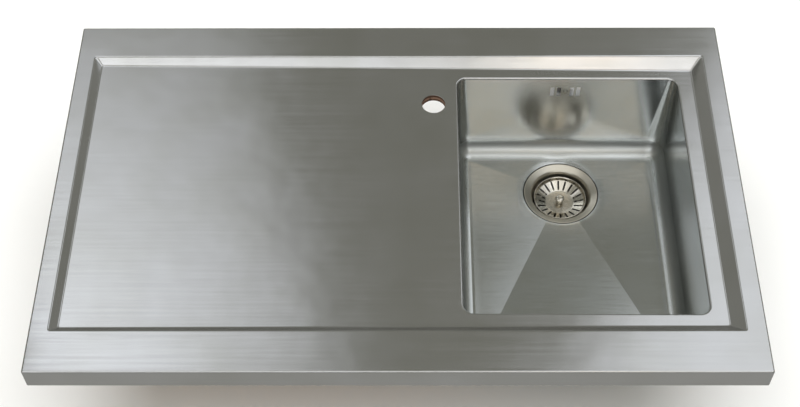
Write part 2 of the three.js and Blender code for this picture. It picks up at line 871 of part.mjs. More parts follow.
// The stem carries the basket above its collar, and the stopper below it.
function makeStem() {
  return revolve([
    [0, stemTop],
    [stemRadius, stemTop],
    [stemRadius, discHeight + 1 - basketSheet - gap],
    [collarRadius, discHeight + 1 - basketSheet - gap],
    [collarRadius, stopperTop + gap],
    [stemRadius, stopperTop + gap],
    [stemRadius, stemTip + 1.5],
    [stemRadius - 1, stemTip],
    [0, stemTip],
  ], 16);
}

// The rubber stopper: a disc with a thinner sealing edge.
function makeStopper() {
  const bore = stemRadius + gap;
  return revolveRing([
    [bore, stopperTop],
    [stopperRadius - 6, stopperTop],
    [stopperRadius - 3, stopperTop - 1.6],
    [stopperRadius, stopperBottom - 0.6],
    [stopperRadius - 0.8, cupFloor + gap],
    [stopperRadius - 3, cupFloor + gap],
    [stopperRadius - 5.5, stopperBottom],
    [bore, stopperBottom],
  ], 28);
}

// A rubber ring on the stem, which holds it in the clamp screw's bore.
function makeStemRing() {
  const [low, high] = [stemTip + 3, stemTip + 5];
  const inner = stemRadius + 0.2;
  return revolveRing([
    [inner, low],
    [clampBore - 0.3, low + 0.5],
    [clampBore - 0.3, high - 0.5],
    [inner, high],
  ], 16);
}

// ======== the overflow, centred on the bowl's back wall ========

const gasketFace = wallOuter + gap;
const housingFace = gasketFace + gasketThickness + gap;
const housingBack = housingFace + housingDepth;
const pipeY = housingFace + pipeRadius + pipeFromHousingFace;
const housingFoot = overflowHeight - housingHeight / 2;

function makeOverflowGasket() {
  const frame = uprightPlate(roundedShape(housingWidth, housingHeight, housingRadius), gasketThickness, 4);
  const inside = uprightPlate(
    roundedShape(housingWidth - 2 * gasketBand, housingHeight - 2 * gasketBand, gasketCorner),
    gasketThickness + 2 * overcut,
    4,
  ).translate(0, -overcut, 0);
  return cut(frame, inside).translate(bowlX, gasketFace, overflowHeight);
}

// A moulded box, open to the slots, with a boss for the screw and a spigot below.
function makeOverflowHousing() {
  const outside = uprightPlate(roundedShape(housingWidth, housingHeight, housingRadius), housingDepth, 4);
  const hollow = uprightPlate(
    roundedShape(housingWidth - 2 * housingWall, housingHeight - 2 * housingWall, housingRadius - housingWall),
    housingDepth - housingWall + overcut,
    4,
  ).translate(0, -overcut, 0);
  const boss = cylinder(overflowScrewRadius + housingWall, gap, housingDepth - gap, 16)
    .rotateX(-Math.PI / 2);
  const bossHole = cylinder(overflowScrewRadius + gap, -overcut, housingDepth - housingBossFloor, 16)
    .rotateX(-Math.PI / 2);
  const down = -housingHeight / 2;
  const spigot = cylinder(pipeRadius, down - spigotReach, down + housingWall / 2, 20);
  const boreFoot = down - spigotReach - overcut;
  const spigotBore = cylinder(pipeRadius - pipeWall, boreFoot, down + housingWall + overcut, 20);
  const spigotPlace = pipeY - housingFace;
  const shell = join(cut(outside, hollow), boss, spigot.translate(0, spigotPlace, 0));
  return cut(shell, bossHole, spigotBore.translate(0, spigotPlace, 0))
    .translate(bowlX, housingFace, overflowHeight);
}

function makeOverflowScrew() {
  const tip = housingFace + housingDepth - housingBossFloor - 1 - bowl.back;
  const shank = overflowScrewRadius - 0.2;
  return revolve([
    [0, -overflowHeadHeight],
    [overflowHeadRadius * 0.7, -overflowHeadHeight],
    [overflowHeadRadius, -overflowHeadHeight * 0.4],
    [overflowHeadRadius, 0],
    [shank, 0],
    [shank, tip - 1],
    [0, tip],
  ], 16)
    .rotateX(-Math.PI / 2)
    .translate(bowlX, bowl.back - gap, overflowHeight);
}

const upperJoint = housingFoot - spigotReach - gap;
const lowerJoint = drain.y + branchReach + gap;

// A rigid pipe with one swept bend, from under the housing to the body's branch.
function makeOverflowPipe() {
  const path = new THREE.CurvePath();
  const top = new THREE.Vector3(bowlX, pipeY, upperJoint);
  const bendTop = new THREE.Vector3(bowlX, pipeY, branchHeight + pipeBend);
  const corner = new THREE.Vector3(bowlX, pipeY, branchHeight);
  const bendEnd = new THREE.Vector3(bowlX, pipeY - pipeBend, branchHeight);
  const end = new THREE.Vector3(bowlX, lowerJoint, branchHeight);
  const bulge = 0.5523;
  path.add(new THREE.LineCurve3(top, bendTop));
  path.add(new THREE.CubicBezierCurve3(
    bendTop,
    bendTop.clone().lerp(corner, bulge),
    bendEnd.clone().lerp(corner, bulge),
    bendEnd,
  ));
  path.add(new THREE.LineCurve3(bendEnd, end));
  const ring = new THREE.Shape().absarc(0, 0, pipeRadius, 0, Math.PI * 2);
  ring.holes.push(new THREE.Path().absarc(0, 0, pipeRadius - pipeWall, 0, Math.PI * 2, true));
  return new THREE.ExtrudeGeometry(ring, { steps: 16, extrudePath: path, curveSegments: 6 });
}

// A ribbed union nut over the joint of two tubes, round the Z axis and centred at height 0.
function makeNut() {
  const inner = pipeRadius + gap;
  const ribbed = new THREE.Shape();
  const count = nutRibs * 2;
  for (let i = 0; i < count; i += 1) {
    const angle = (i / count) * Math.PI * 2;
    const radius = i % 2 ? nutRadius : nutRadius - nutGrip;
    const [x, y] = [radius * Math.cos(angle), radius * Math.sin(angle)];
    if (i === 0) ribbed.moveTo(x, y);
    else ribbed.lineTo(x, y);
  }
  ribbed.closePath();
  ribbed.holes.push(new THREE.Path().absarc(0, 0, inner, 0, Math.PI * 2, true));
  const ring = plate(ribbed, nutLength, 10).translate(0, 0, -nutLength / 2);
  const roomRadius = pipeRadius + pipeSeal.width + pipeSeal.play;
  const roomHalf = pipeSeal.half + gap;
  return cut(ring, cylinder(roomRadius, -roomHalf, roomHalf, 20));
}

function makePipeSeal() {
  const { width, half, play } = pipeSeal;
  const [inner, outerRadius] = [pipeRadius + play, pipeRadius + width];
  return revolveRing([
    [inner, -half],
    [outerRadius, -half],
    [outerRadius, half / 3],
    [outerRadius - 1, half],
    [inner, half],
  ], 20);
}

// ======== finishes and assembly ========

const finishes = {
  brushedSteel: { color: 0x8f918b, roughness: 0.38, metalness: 1 },
  bowlSteel: { color: 0x8c8f88, roughness: 0.32, metalness: 1 },
  polishedSteel: { color: 0xb3ab98, roughness: 0.18, metalness: 1 },
  plywood: { color: 0x8a6a4c, roughness: 0.75, metalness: 0 },
  softwood: { color: 0xb3895c, roughness: 0.8, metalness: 0 },
  rubber: { color: 0x26282a, roughness: 0.85, metalness: 0 },
  padding: { color: 0x4b4d4e, roughness: 0.95, metalness: 0 },
  blackPlastic: { color: 0x34373a, roughness: 0.5, metalness: 0 },
  whitePlastic: { color: 0xdcdcd8, roughness: 0.45, metalness: 0 },
  plainScrew: { color: 0xa9a8a0, roughness: 0.3, metalness: 1 },
};

const sink = new THREE.Group();

function piece(name, geometry, finish, parent = sink) {
  const mesh = new THREE.Mesh(welded(geometry), new THREE.MeshStandardMaterial(finishes[finish]));
  mesh.name = name;
  parent.add(mesh);
  return mesh;
}

piece('worktop_skin', makeTopSheet(), 'brushedSteel');
piece('bowl_wall', makeBowlWall(), 'bowlSteel');
piece('bowl_base', makeBowlBase(), 'bowlSteel');
piece('bowl_damping_pad', makeDampingPad(), 'padding');

piece('core_board', makeCoreBoard(), 'plywood');
piece('batten_front', makeFrontBatten(), 'softwood');
piece('batten_back', makeBackBatten(), 'softwood');
piece('batten_left', makeSideBatten(-1), 'softwood');
piece('batten_right', makeSideBatten(1), 'softwood');
piece('bearer_left', makeBearer(bearerX[0]), 'softwood');
piece('bearer_centre', makeBearer(bearerX[1]), 'softwood');
bearerScrewPlaces().forEach(([x, y], i) => {
  piece(`bearer_screw_${i + 1}`, bearerScrewSolid(0), 'plainScrew').position.set(x, y, 0);
});

const waste = new THREE.Group();
waste.position.set(drain.x, drain.y, 0);
sink.add(waste);
piece('waste_cup', makeWasteCup(), 'polishedSteel', waste);
piece('waste_upper_seal', makeSeal(sealTop, cupMouthRadius + 1.5, flangeRadius - 1), 'rubber', waste);
piece('waste_lower_seal', makeSeal(lowerSealTop, bodyInner, flangeRadius - 1), 'rubber', waste);
piece('waste_body', makeWasteBody(), 'blackPlastic', waste);
piece('waste_tail', makeWasteTail(), 'blackPlastic', waste);
piece('waste_clamp_screw', makeClampScrew(), 'plainScrew', waste);
piece('strainer_basket', makeBasket(), 'polishedSteel', waste);
piece('basket_knob', makeKnob(), 'polishedSteel', waste);
piece('basket_stem', makeStem(), 'plainScrew', waste);
piece('basket_stopper', makeStopper(), 'rubber', waste);
piece('stem_ring', makeStemRing(), 'rubber', waste);

piece('overflow_gasket', makeOverflowGasket(), 'rubber');
piece('overflow_housing', makeOverflowHousing(), 'whitePlastic');
piece('overflow_screw', makeOverflowScrew(), 'plainScrew');
piece('overflow_pipe', makeOverflowPipe(), 'whitePlastic');

const upperPlace = new THREE.Vector3(bowlX, pipeY, upperJoint + gap / 2);
const lowerPlace = new THREE.Vector3(bowlX, lowerJoint - gap / 2, branchHeight);
for (const [name, place, tilt] of [['upper', upperPlace, 0], ['lower', lowerPlace, Math.PI / 2]]) {
  for (const [part, make, finish] of [['nut', makeNut, 'whitePlastic'], ['seal', makePipeSeal, 'rubber']]) {
    const mesh = piece(`overflow_${part}_${name}`, make(), finish);
    mesh.position.copy(place);
    mesh.rotation.x = tilt;
  }
}

export default sink;
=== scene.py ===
"""Kitchen sink with drainboard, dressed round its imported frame.

Every class holds its sizes in millimetres, apart from the lights. Meshes are built in millimetres
in the model's frame (+X right, +Y back, +Z up, height 0 on the cabinet) and become metres when
they are made objects.
"""

import logging
import math
from contextlib import contextmanager
from dataclasses import dataclass
from enum import Enum
from typing import Any, Callable, Iterator, Optional, Sequence

import bmesh
import bpy
from mathutils import Matrix, Quaternion, Vector


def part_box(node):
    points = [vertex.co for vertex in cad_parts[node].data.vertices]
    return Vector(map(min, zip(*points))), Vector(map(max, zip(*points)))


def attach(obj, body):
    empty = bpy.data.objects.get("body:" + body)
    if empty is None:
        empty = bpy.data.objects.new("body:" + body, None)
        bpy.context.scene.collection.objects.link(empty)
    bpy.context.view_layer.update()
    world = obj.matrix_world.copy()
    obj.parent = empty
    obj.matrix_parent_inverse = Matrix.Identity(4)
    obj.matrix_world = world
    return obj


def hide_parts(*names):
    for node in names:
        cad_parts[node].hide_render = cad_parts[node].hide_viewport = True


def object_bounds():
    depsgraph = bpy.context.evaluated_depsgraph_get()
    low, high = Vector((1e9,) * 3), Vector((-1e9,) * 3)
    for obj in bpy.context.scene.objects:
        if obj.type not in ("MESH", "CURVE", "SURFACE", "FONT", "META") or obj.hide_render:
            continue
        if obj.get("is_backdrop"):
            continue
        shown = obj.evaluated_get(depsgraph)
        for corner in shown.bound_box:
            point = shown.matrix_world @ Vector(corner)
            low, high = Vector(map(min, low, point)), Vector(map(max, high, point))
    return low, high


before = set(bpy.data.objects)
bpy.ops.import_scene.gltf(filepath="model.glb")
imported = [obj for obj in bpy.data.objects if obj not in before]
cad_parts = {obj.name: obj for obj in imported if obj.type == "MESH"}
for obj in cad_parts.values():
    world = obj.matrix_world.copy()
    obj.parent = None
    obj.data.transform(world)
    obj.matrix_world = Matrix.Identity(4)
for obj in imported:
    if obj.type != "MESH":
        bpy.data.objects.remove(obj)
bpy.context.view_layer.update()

log = logging.getLogger("sink")

# One millimetre in metres.
MM = 0.001
# Points that lie nearer than this, in metres, are one.
MERGE_REACH = 1e-6
# Edges that turn by more than this, in degrees, stay sharp.
CREASE_DEGREES = 38.0
# Edges that turn by more than this are eased, in this many steps.
EASED_DEGREES = 40.0
EASED_STEPS = 3
# Faces that turn by less than this are one flat face.
FLAT_DEGREES = 1.0
# Nearly all of a noise texture lies between these.
NOISE_LOW, NOISE_HIGH = 0.3, 0.7
# The Mix node's colour sockets share their names with others, so they go by number.
MIX_FIRST, MIX_SECOND, MIX_RESULT = 6, 7, 2

BRUSH_MAP = "brushing"
LEAN_MAP = "lean"
BEND_MAP = "bend"

Point = tuple[float, float]
Place = tuple[float, float, float]
Ring = list[Place]


class Body(Enum):
    """The bodies of the frame that pieces ride on."""

    SINK = "root"
    PLUG = "plug"
    STRAINER = "strainer"


class Grain(Enum):
    """How brush lines lie. The value is how level a face is before its lines run along X."""

    PRESSED = 0.5
    DRAWN = 0.97
    TURNED = 0.0


# ---------------------------------------------------------------- node trees


def feed(tree: Any, node: Any, inputs: dict[Any, Any]) -> None:
    """Sets or links a node's input sockets.

    Args:
        tree: The node's tree.
        node: The node.
        inputs: By input name or number: a value, an output socket, or a node, whose first output
            is then linked.
    """
    for key, value in inputs.items():
        if isinstance(value, bpy.types.Node):
            value = value.outputs[0]
        if isinstance(value, bpy.types.NodeSocket):
            tree.links.new(value, node.inputs[key])
        else:
            node.inputs[key].default_value = value


def add_node(tree: Any, kind: str, inputs: Optional[dict[Any, Any]] = None, **settings: Any) -> Any:
    """Adds one node, sets its properties, and sets or links its input sockets.

    Args:
        tree: The node tree that gets the node.
        kind: The node's Blender type name.
        inputs: What its inputs get, as `feed` takes it.
        settings: Properties of the node itself.

    Returns:
        The new node.
    """
    node = tree.nodes.new(kind)
    for name, value in settings.items():
        setattr(node, name, value)
    feed(tree, node, inputs or {})
    return node


def linear(hex_colour: str) -> tuple[float, float, float, float]:
    """Turns an sRGB hex colour into the linear colour that a shader takes.

    Args:
        hex_colour: Six hex digits after a hash sign.

    Returns:
        Red, green, blue and a full alpha.
    """
    channels = [int(hex_colour[i : i + 2], 16) / 255 for i in (1, 3, 5)]
    red, green, blue = (
        c / 12.92 if c <= 0.04045 else ((c + 0.055) / 1.055) ** 2.4 for c in channels
    )
    return (red, green, blue, 1.0)


def colour_ramp(node: Any, stops: Sequence[tuple[float, str]]) -> None:
    """Sets a colour ramp's stops.

    Args:
        node: The colour ramp node.
        stops: Places from 0 to 1 with their hex colours.
    """
    elements = node.color_ramp.elements
    while len(elements) < len(stops):
        elements.new(0.5)
    for element, (place, colour) in zip(elements, stops):
        element.position = place
        element.color = linear(colour)


# ---------------------------------------------------------------- finishes


@dataclass(frozen=True)
class Finish:
    """A real surface: the name of its material, and the name of a slot in the record, which the
    script doesn't fill.
    """

    name: str
    slot: str

    def wire(self, tree: Any, shader: Any) -> None:
        """Adds the surface's own pattern. Each kind of finish has its own.

        Args:
            tree: The material's node tree.
            shader: Its one shader.
        """
        raise NotImplementedError

    def material(self) -> bpy.types.Material:
        """Gives the node material, which is built at the first call.

        Returns:
            The material.
        """
        made = bpy.data.materials.get(self.name)
        if made is None:
            made = bpy.data.materials.new(self.name)
            made.use_nodes = True
            self.wire(made.node_tree, made.node_tree.nodes["Principled BSDF"])
        return made


@dataclass(frozen=True)
class SteelFinish(Finish):
    """Stainless steel sheet. The brush lines blur what it mirrors across their own direction.

    A pressed sheet also reads two attributes: how its planes lean, and how tightly it is bent.
    """

    colour: str
    stain: str
    roughness: float
    brushing: float
    line_mm: float = 1.6
    line_length_mm: float = 220.0
    line_contrast: float = 0.05
    cloud_mm: float = 140.0
    cloud_share: float = 0.5
    cloud_low: float = 0.35
    relief_mm: float = 0.004
    wave_mm: float = 0.0
    pressed: bool = False
    bend_roughness: float = 0.2

    def wire(self, tree: Any, shader: Any) -> None:
        """Adds brush lines, clouds of stain and the sheet's waves.

        Args:
            tree: The material's node tree.
            shader: Its one shader.
        """
        spacing = (1 / (self.line_length_mm * MM), 1 / (self.line_mm * MM), 1.0)
        along = add_node(tree, "ShaderNodeUVMap", uv_map=BRUSH_MAP)
        stretched = add_node(tree, "ShaderNodeMapping", {"Vector": along, "Scale": spacing})
        lines = add_node(
            tree,
            "ShaderNodeTexNoise",
            {"Vector": stretched, "Scale": 1.0, "Detail": 3.0, "Roughness": 0.6},
            noise_dimensions="2D",
        )
        place = add_node(tree, "ShaderNodeTexCoord").outputs["Object"]
        cloud = add_node(
            tree,
            "ShaderNodeTexNoise",
            {"Vector": place, "Scale": 1 / (self.cloud_mm * MM), "Detail": 2.0},
        )
        share = add_node(
            tree,
            "ShaderNodeMapRange",
            {
                "Value": cloud,
                "From Min": self.cloud_low,
                "From Max": NOISE_HIGH,
                "To Max": self.cloud_share,
            },
        )
        tint = add_node(
            tree,
            "ShaderNodeMix",
            {"Factor": share, MIX_FIRST: linear(self.colour), MIX_SECOND: linear(self.stain)},
            data_type="RGBA",
        ).outputs[MIX_RESULT]
        rough = add_node(
            tree,
            "ShaderNodeMapRange",
            {
                "Value": lines,
                "From Min": NOISE_LOW,
                "From Max": NOISE_HIGH,
                "To Min": self.roughness - self.line_contrast,
                "To Max": self.roughness + self.line_contrast,
            },
        )
        wave = add_node(
            tree,
            "ShaderNodeBump",
            {"Height": cloud, "Strength": 1.0, "Distance": self.wave_mm * MM},
        )
        relief = add_node(
            tree,
            "ShaderNodeBump",
            {"Height": lines, "Strength": 1.0, "Distance": self.relief_mm * MM, "Normal": wave},
        )
        if self.pressed:
            rough = self.press(tree, rough, wave)
        feed(
            tree,
            shader,
            {
                "Metallic": 1.0,
                "Base Color": tint,
                "Roughness": rough,
                "Normal": relief,
                "Anisotropic": self.brushing,
                # The blur lies across the lines, a quarter turn from the map's own direction.
                "Anisotropic Rotation": 0.25,
                "Tangent": add_node(
                    tree, "ShaderNodeTangent", direction_type="UV_MAP", uv_map=BRUSH_MAP
                ),
            },
        )

    def press(self, tree: Any, rough: Any, wave: Any) -> Any:
        """Leans the surface's normal with its planes, and dulls it where the sheet is bent.

        Args:
            tree: The material's node tree.
            rough: The node of the flat sheet's roughness.
            wave: The node that takes the leaned normal.

        Returns:
            The node of the pressed sheet's roughness.
        """
        upright = add_node(tree, "ShaderNodeNewGeometry").outputs["Normal"]
        lean = add_node(tree, "ShaderNodeAttribute", attribute_name=LEAN_MAP).outputs["Vector"]
        leaning = add_node(tree, "ShaderNodeVectorMath", {0: upright, 1: lean}, operation="ADD")
        unit = add_node(tree, "ShaderNodeVectorMath", {0: leaning}, operation="NORMALIZE")
        feed(tree, wave, {"Normal": unit})
        bent = add_node(tree, "ShaderNodeAttribute", attribute_name=BEND_MAP).outputs["Fac"]
        return add_node(
            tree,
            "ShaderNodeMath",
            {0: bent, 1: self.bend_roughness, 2: rough},
            operation="MULTIPLY_ADD",
        )


@dataclass(frozen=True)
class MouldedFinish(Finish):
    """A moulded plastic, rubber or pad: an even colour with a fine skin texture and faint wear."""

    colour: str
    worn: str
    roughness: float
    ior: float
    grit_mm: float = 1.2
    relief_mm: float = 0.02
    relief_strength: float = 0.6
    wear_mm: float = 24.0
    wear_contrast: float = 0.06
    glow_depth_mm: float = 0.0
    glow_colour: Place = (0.9, 0.95, 1.0)

    def wire(self, tree: Any, shader: Any) -> None:
        """Adds wear in its colour and gloss, and grit in its relief.

        Args:
            tree: The material's node tree.
            shader: Its one shader.
        """
        place = add_node(tree, "ShaderNodeTexCoord").outputs["Object"]
        wear = add_node(
            tree,
            "ShaderNodeTexNoise",
            {"Vector": place, "Scale": 1 / (self.wear_mm * MM), "Detail": 4.0},
        )
        tint = add_node(tree, "ShaderNodeValToRGB", {"Fac": wear})
        colour_ramp(tint, [(0.4, self.colour), (0.75, self.worn)])
        rough = add_node(
            tree,
            "ShaderNodeMapRange",
            {
                "Value": wear,
                "From Min": NOISE_LOW,
                "From Max": NOISE_HIGH,
                "To Min": self.roughness - self.wear_contrast,
                "To Max": self.roughness + self.wear_contrast,
            },
        )
        grit = add_node(
            tree,
            "ShaderNodeTexNoise",
            {"Vector": place, "Scale": 1 / (self.grit_mm * MM), "Detail": 2.0},
        )
        relief = add_node(
            tree,
            "ShaderNodeBump",
            {"Height": grit, "Strength": self.relief_strength, "Distance": self.relief_mm * MM},
        )
        feed(
            tree,
            shader,
            {"Base Color": tint, "Roughness": rough, "IOR": self.ior, "Normal": relief},
        )
        if self.glow_depth_mm:
            glow = {"Weight": 1.0, "Radius": self.glow_colour, "Scale": self.glow_depth_mm * MM}
            feed(tree, shader, {f"Subsurface {label}": value for label, value in glow.items()})


@dataclass(frozen=True)
class WoodFinish(Finish):
    """Bare wood in two tones, dry and fibrous. Each kind of wood lays its own grain."""

    light: str
    dark: str
    roughness: float
    smoother: float = 0.08
    rougher: float = 0.1
    fibre_mm: float = 0.9
    fibre_detail: float = 3.0
    relief_mm: float = 0.08
    relief_strength: float = 0.7

    def fibres(self, tree: Any, shader: Any, place: Any) -> Any:
        """Adds the fibres that roughen the surface and stand up from it.

        Args:
            tree: The material's node tree.
            shader: Its one shader.
            place: The node or socket of the place on the wood.

        Returns:
            The node of the fibres.
        """
        fibre = add_node(
            tree,
            "ShaderNodeTexNoise",
            {"Vector": place, "Scale": 1 / (self.fibre_mm * MM), "Detail": self.fibre_detail},
        )
        ends = {"To Min": self.roughness - self.smoother, "To Max": self.roughness + self.rougher}
        rough = add_node(tree, "ShaderNodeMapRange", {"Value": fibre, **ends})
        relief = add_node(
            tree,
            "ShaderNodeBump",
            {"Height": fibre, "Strength": self.relief_strength, "Distance": self.relief_mm * MM},
        )
        feed(tree, shader, {"Roughness": rough, "Normal": relief})
        return fibre


@dataclass(frozen=True)
class TimberFinish(WoodFinish):
    """Sawn softwood: pale early wood and darker late wood in long bands, with a dry surface."""

    along: str = "X"
    stretch: float = 0.06
    ring_mm: float = 7.0

    def wire(self, tree: Any, shader: Any) -> None:
        """Adds year rings and fibres that run along the wood.

        Args:
            tree: The material's node tree.
            shader: Its one shader.
        """
        place = add_node(tree, "ShaderNodeTexCoord").outputs["Object"]
        squeeze = [self.stretch if axis == self.along else 1.0 for axis in "XYZ"]
        grained = add_node(tree, "ShaderNodeMapping", {"Vector": place, "Scale": squeeze})
        # A band of the wave is about a sixth of its scale wide.
        rings = add_node(
            tree,
            "ShaderNodeTexWave",
            {
                "Vector": grained,
                "Scale": 1 / (self.ring_mm * 6 * MM),
                "Distortion": 5.0,
                "Detail": 3.0,
                "Detail Scale": 1.5,
            },
            wave_type="BANDS",
            bands_direction="DIAGONAL",
            wave_profile="SAW",
        ).outputs["Fac"]
        tint = add_node(tree, "ShaderNodeValToRGB", {"Fac": rings})
        colour_ramp(tint, [(0.15, self.light), (0.85, self.dark)])
        feed(tree, shader, {"Base Color": tint})
        self.fibres(tree, shader, grained)


@dataclass(frozen=True)
class PlywoodFinish(WoodFinish):
    """Plywood core: plies of alternate grain, seen as light and dark layers on a cut edge."""

    ply_mm: float = 4.0
    glue_share: float = 0.35
    fibre_shade: str = "#b59a80"

    def wire(self, tree: Any, shader: Any) -> None:
        """Adds plies by height, and fibres that darken them.

        Args:
            tree: The material's node tree.
            shader: Its one shader.
        """
        place = add_node(tree, "ShaderNodeTexCoord").outputs["Object"]
        height = add_node(tree, "ShaderNodeSeparateXYZ", {0: place}).outputs["Z"]
        ply = self.ply_mm * MM
        layer = add_node(tree, "ShaderNodeMath", {0: height, 1: ply}, operation="PINGPONG")
        ends = {"From Min": ply * self.glue_share, "From Max": ply * (1 - self.glue_share)}
        share = add_node(tree, "ShaderNodeMapRange", {"Value": layer, **ends})
        tone = add_node(tree, "ShaderNodeValToRGB", {"Fac": share})
        colour_ramp(tone, [(0.0, self.light), (1.0, self.dark)])
        shade = add_node(
            tree,
            "ShaderNodeMix",
            {
                "Factor": self.fibres(tree, shader, place),
                MIX_FIRST: tone.outputs[0],
                MIX_SECOND: linear(self.fibre_shade),
            },
            data_type="RGBA",
            blend_type="MULTIPLY",
        ).outputs[MIX_RESULT]
        feed(tree, shader, {"Base Color": shade})


# Satin sheet: straight brush lines over a slightly wavy sheet, so it mirrors the room softly,
# more so across the lines. They are drawn coarser than real ones, to show in a picture.
SATIN_STEEL = SteelFinish(
    "satin_brushed_steel",
    "satin_steel",
    "#cacacb",
    "#bcbcb8",
    0.2,
    0.6,
    line_mm=5.0,
    line_contrast=0.025,
    cloud_mm=100,
    relief_mm=0.0021,
    wave_mm=0.65,
)
# Drawn bowl: burnished ground between fine dull lines, so a mirror image stands in a soft haze.
# Its tight bends are duller, and all but the back plane of its floor look steeper than they are.
BOWL_STEEL = SteelFinish(
    "drawn_bowl_steel",
    "bowl_steel",
    "#c5c8c8",
    "#bdbeb9",
    0.2,
    0.5,
    line_mm=0.3,
    line_length_mm=60,
    line_contrast=0.06,
    cloud_mm=90,
    relief_mm=0.0003,
    wave_mm=0.12,
    pressed=True,
)
# Polished steel: spun and buffed, nearly a mirror, with a warm cast.
POLISHED_STEEL = SteelFinish(
    "buffed_spun_steel",
    "polished_steel",
    "#d2cdc2",
    "#c8c1b3",
    0.2,
    0.4,
    line_mm=0.12,
    line_length_mm=8,
    line_contrast=0.1,
    relief_mm=0.001,
)
# Flange steel: spun and left satin, so its ring looks even, with a warm cast.
FLANGE_STEEL = SteelFinish(
    "satin_spun_steel",
    "polished_steel",
    "#d4cfc3",
    "#cbc4b6",
    0.32,
    0.2,
    line_mm=0.4,
    line_length_mm=8,
    line_contrast=0.04,
    relief_mm=0.0008,
)
# Screw steel: turned or cold headed, plain and a little dull.
SCREW_STEEL = SteelFinish(
    "turned_screw_steel",
    "screw_steel",
    "#c0beb5",
    "#aaa79d",
    0.28,
    0.2,
    line_mm=0.5,
    line_length_mm=12,
    cloud_mm=9,
    relief_mm=0.002,
)
# EPDM rubber: moulded, matt and nearly black, with a grey bloom.
BLACK_RUBBER = MouldedFinish(
    "moulded_rubber", "black_rubber", "#1d1f20", "#2d2f2f", 0.62, 1.52, grit_mm=0.9, wear_mm=14
)
# Bitumen pad: soft, rough and dull, with a pressed grain.
DAMPING_PAD = MouldedFinish(
    "bitumen_damping_pad", "damping_pad", "#3d3f40", "#525454", 0.88, 1.5, 1.5, 0.15, wear_mm=40
)
# Polypropylene: injection moulded, satin, with a slight waxy sheen.
DARK_PLASTIC = MouldedFinish(
    "moulded_dark_polypropylene", "dark_plastic", "#2f3235", "#3b3e40", 0.42, 1.49
)
# The white kind lets light through, so a lit patch glows some way round itself.
WHITE_PLASTIC = MouldedFinish(
    "moulded_white_polypropylene",
    "white_plastic",
    "#f2f4f8",
    "#e6e8ec",
    0.4,
    1.49,
    glow_depth_mm=25.0,
)
# Poplar plywood: rotary cut plies, whose sawn edge shows grey brown and dark brown layers.
PLYWOOD = PlywoodFinish(
    "poplar_plywood_core",
    "plywood",
    "#a58a78",
    "#634a3a",
    0.78,
    rougher=0.12,
    fibre_mm=1.4,
    fibre_detail=4.0,
    relief_mm=0.1,
    relief_strength=0.8,
)
# Spruce: sawn and left dry, straw coloured with brown bands that run along each batten.
BATTEN_ALONG_X, BATTEN_ALONG_Y = (
    TimberFinish(f"sawn_spruce_{way}", "softwood", "#c9a777", "#a87b4b", 0.72, along=axis)
    for way, axis in (("lengthways", "X"), ("crossways", "Y"))
)


# ---------------------------------------------------------------- meshes


def linked(name: str, data: Any) -> Any:
    """Makes an object of a mesh, a light or a camera, and links it into the scene.

    Args:
        name: The object's name.
        data: What it shows.

    Returns:
        The object, at the origin.
    """
    made = bpy.data.objects.new(name, data)
    bpy.context.scene.collection.objects.link(made)
    return made


@contextmanager
def editing(mesh: Any) -> Iterator[Any]:
    """Opens a mesh for editing, and writes it back.

    Args:
        mesh: The mesh.

    Yields:
        The mesh in its editable form.
    """
    work = bmesh.new()
    work.from_mesh(mesh)
    yield work
    work.to_mesh(mesh)
    work.free()


def new_object(name: str, points: Sequence[Place], faces: Sequence[Sequence[int]]) -> Any:
    """Makes a mesh object in metres from points in millimetres, with its faces turned outwards.

    Args:
        name: The object's name.
        points: The points, in millimetres.
        faces: Corner numbers of each face.

    Returns:
        The linked object, at the origin.
    """
    mesh = bpy.data.meshes.new(name)
    mesh.from_pydata([Vector(p) * MM for p in points], [], [list(f) for f in faces])
    with editing(mesh) as work:
        bmesh.ops.remove_doubles(work, verts=work.verts, dist=MERGE_REACH)
        bmesh.ops.recalc_face_normals(work, faces=work.faces)
    return linked(name, mesh)


def settle(piece: Any) -> None:
    """Turns what the modifiers make into the piece's own plain mesh.

    Args:
        piece: An object with modifiers, which it loses.
    """
    depsgraph = bpy.context.evaluated_depsgraph_get()
    shown = piece.evaluated_get(depsgraph)
    mesh = bpy.data.meshes.new_from_object(
        shown, preserve_all_data_layers=True, depsgraph=depsgraph
    )
    piece.modifiers.clear()
    piece.data = mesh


def refined(name: str, node: str, bevel_mm: float = 0.0) -> Any:
    """Copies a CAD node's solid as one merged mesh with flat faces whole and edges eased.

    Args:
        name: The new object's name.
        node: The CAD node.
        bevel_mm: Width of the easing, or 0 for none.

    Returns:
        The new object.
    """
    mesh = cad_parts[node].data.copy()
    with editing(mesh) as work:
        bmesh.ops.remove_doubles(work, verts=work.verts, dist=2 * MERGE_REACH)
        if bevel_mm:
            flat = math.radians(FLAT_DEGREES)
            bmesh.ops.dissolve_limit(work, angle_limit=flat, verts=work.verts, edges=work.edges)
    piece = linked(name, mesh)
    if bevel_mm:
        bevel = piece.modifiers.new("eased_edges", "BEVEL")
        bevel.width = bevel_mm * MM
        bevel.segments = EASED_STEPS
        bevel.limit_method = "ANGLE"
        bevel.angle_limit = math.radians(EASED_DEGREES)
        settle(piece)
    return piece


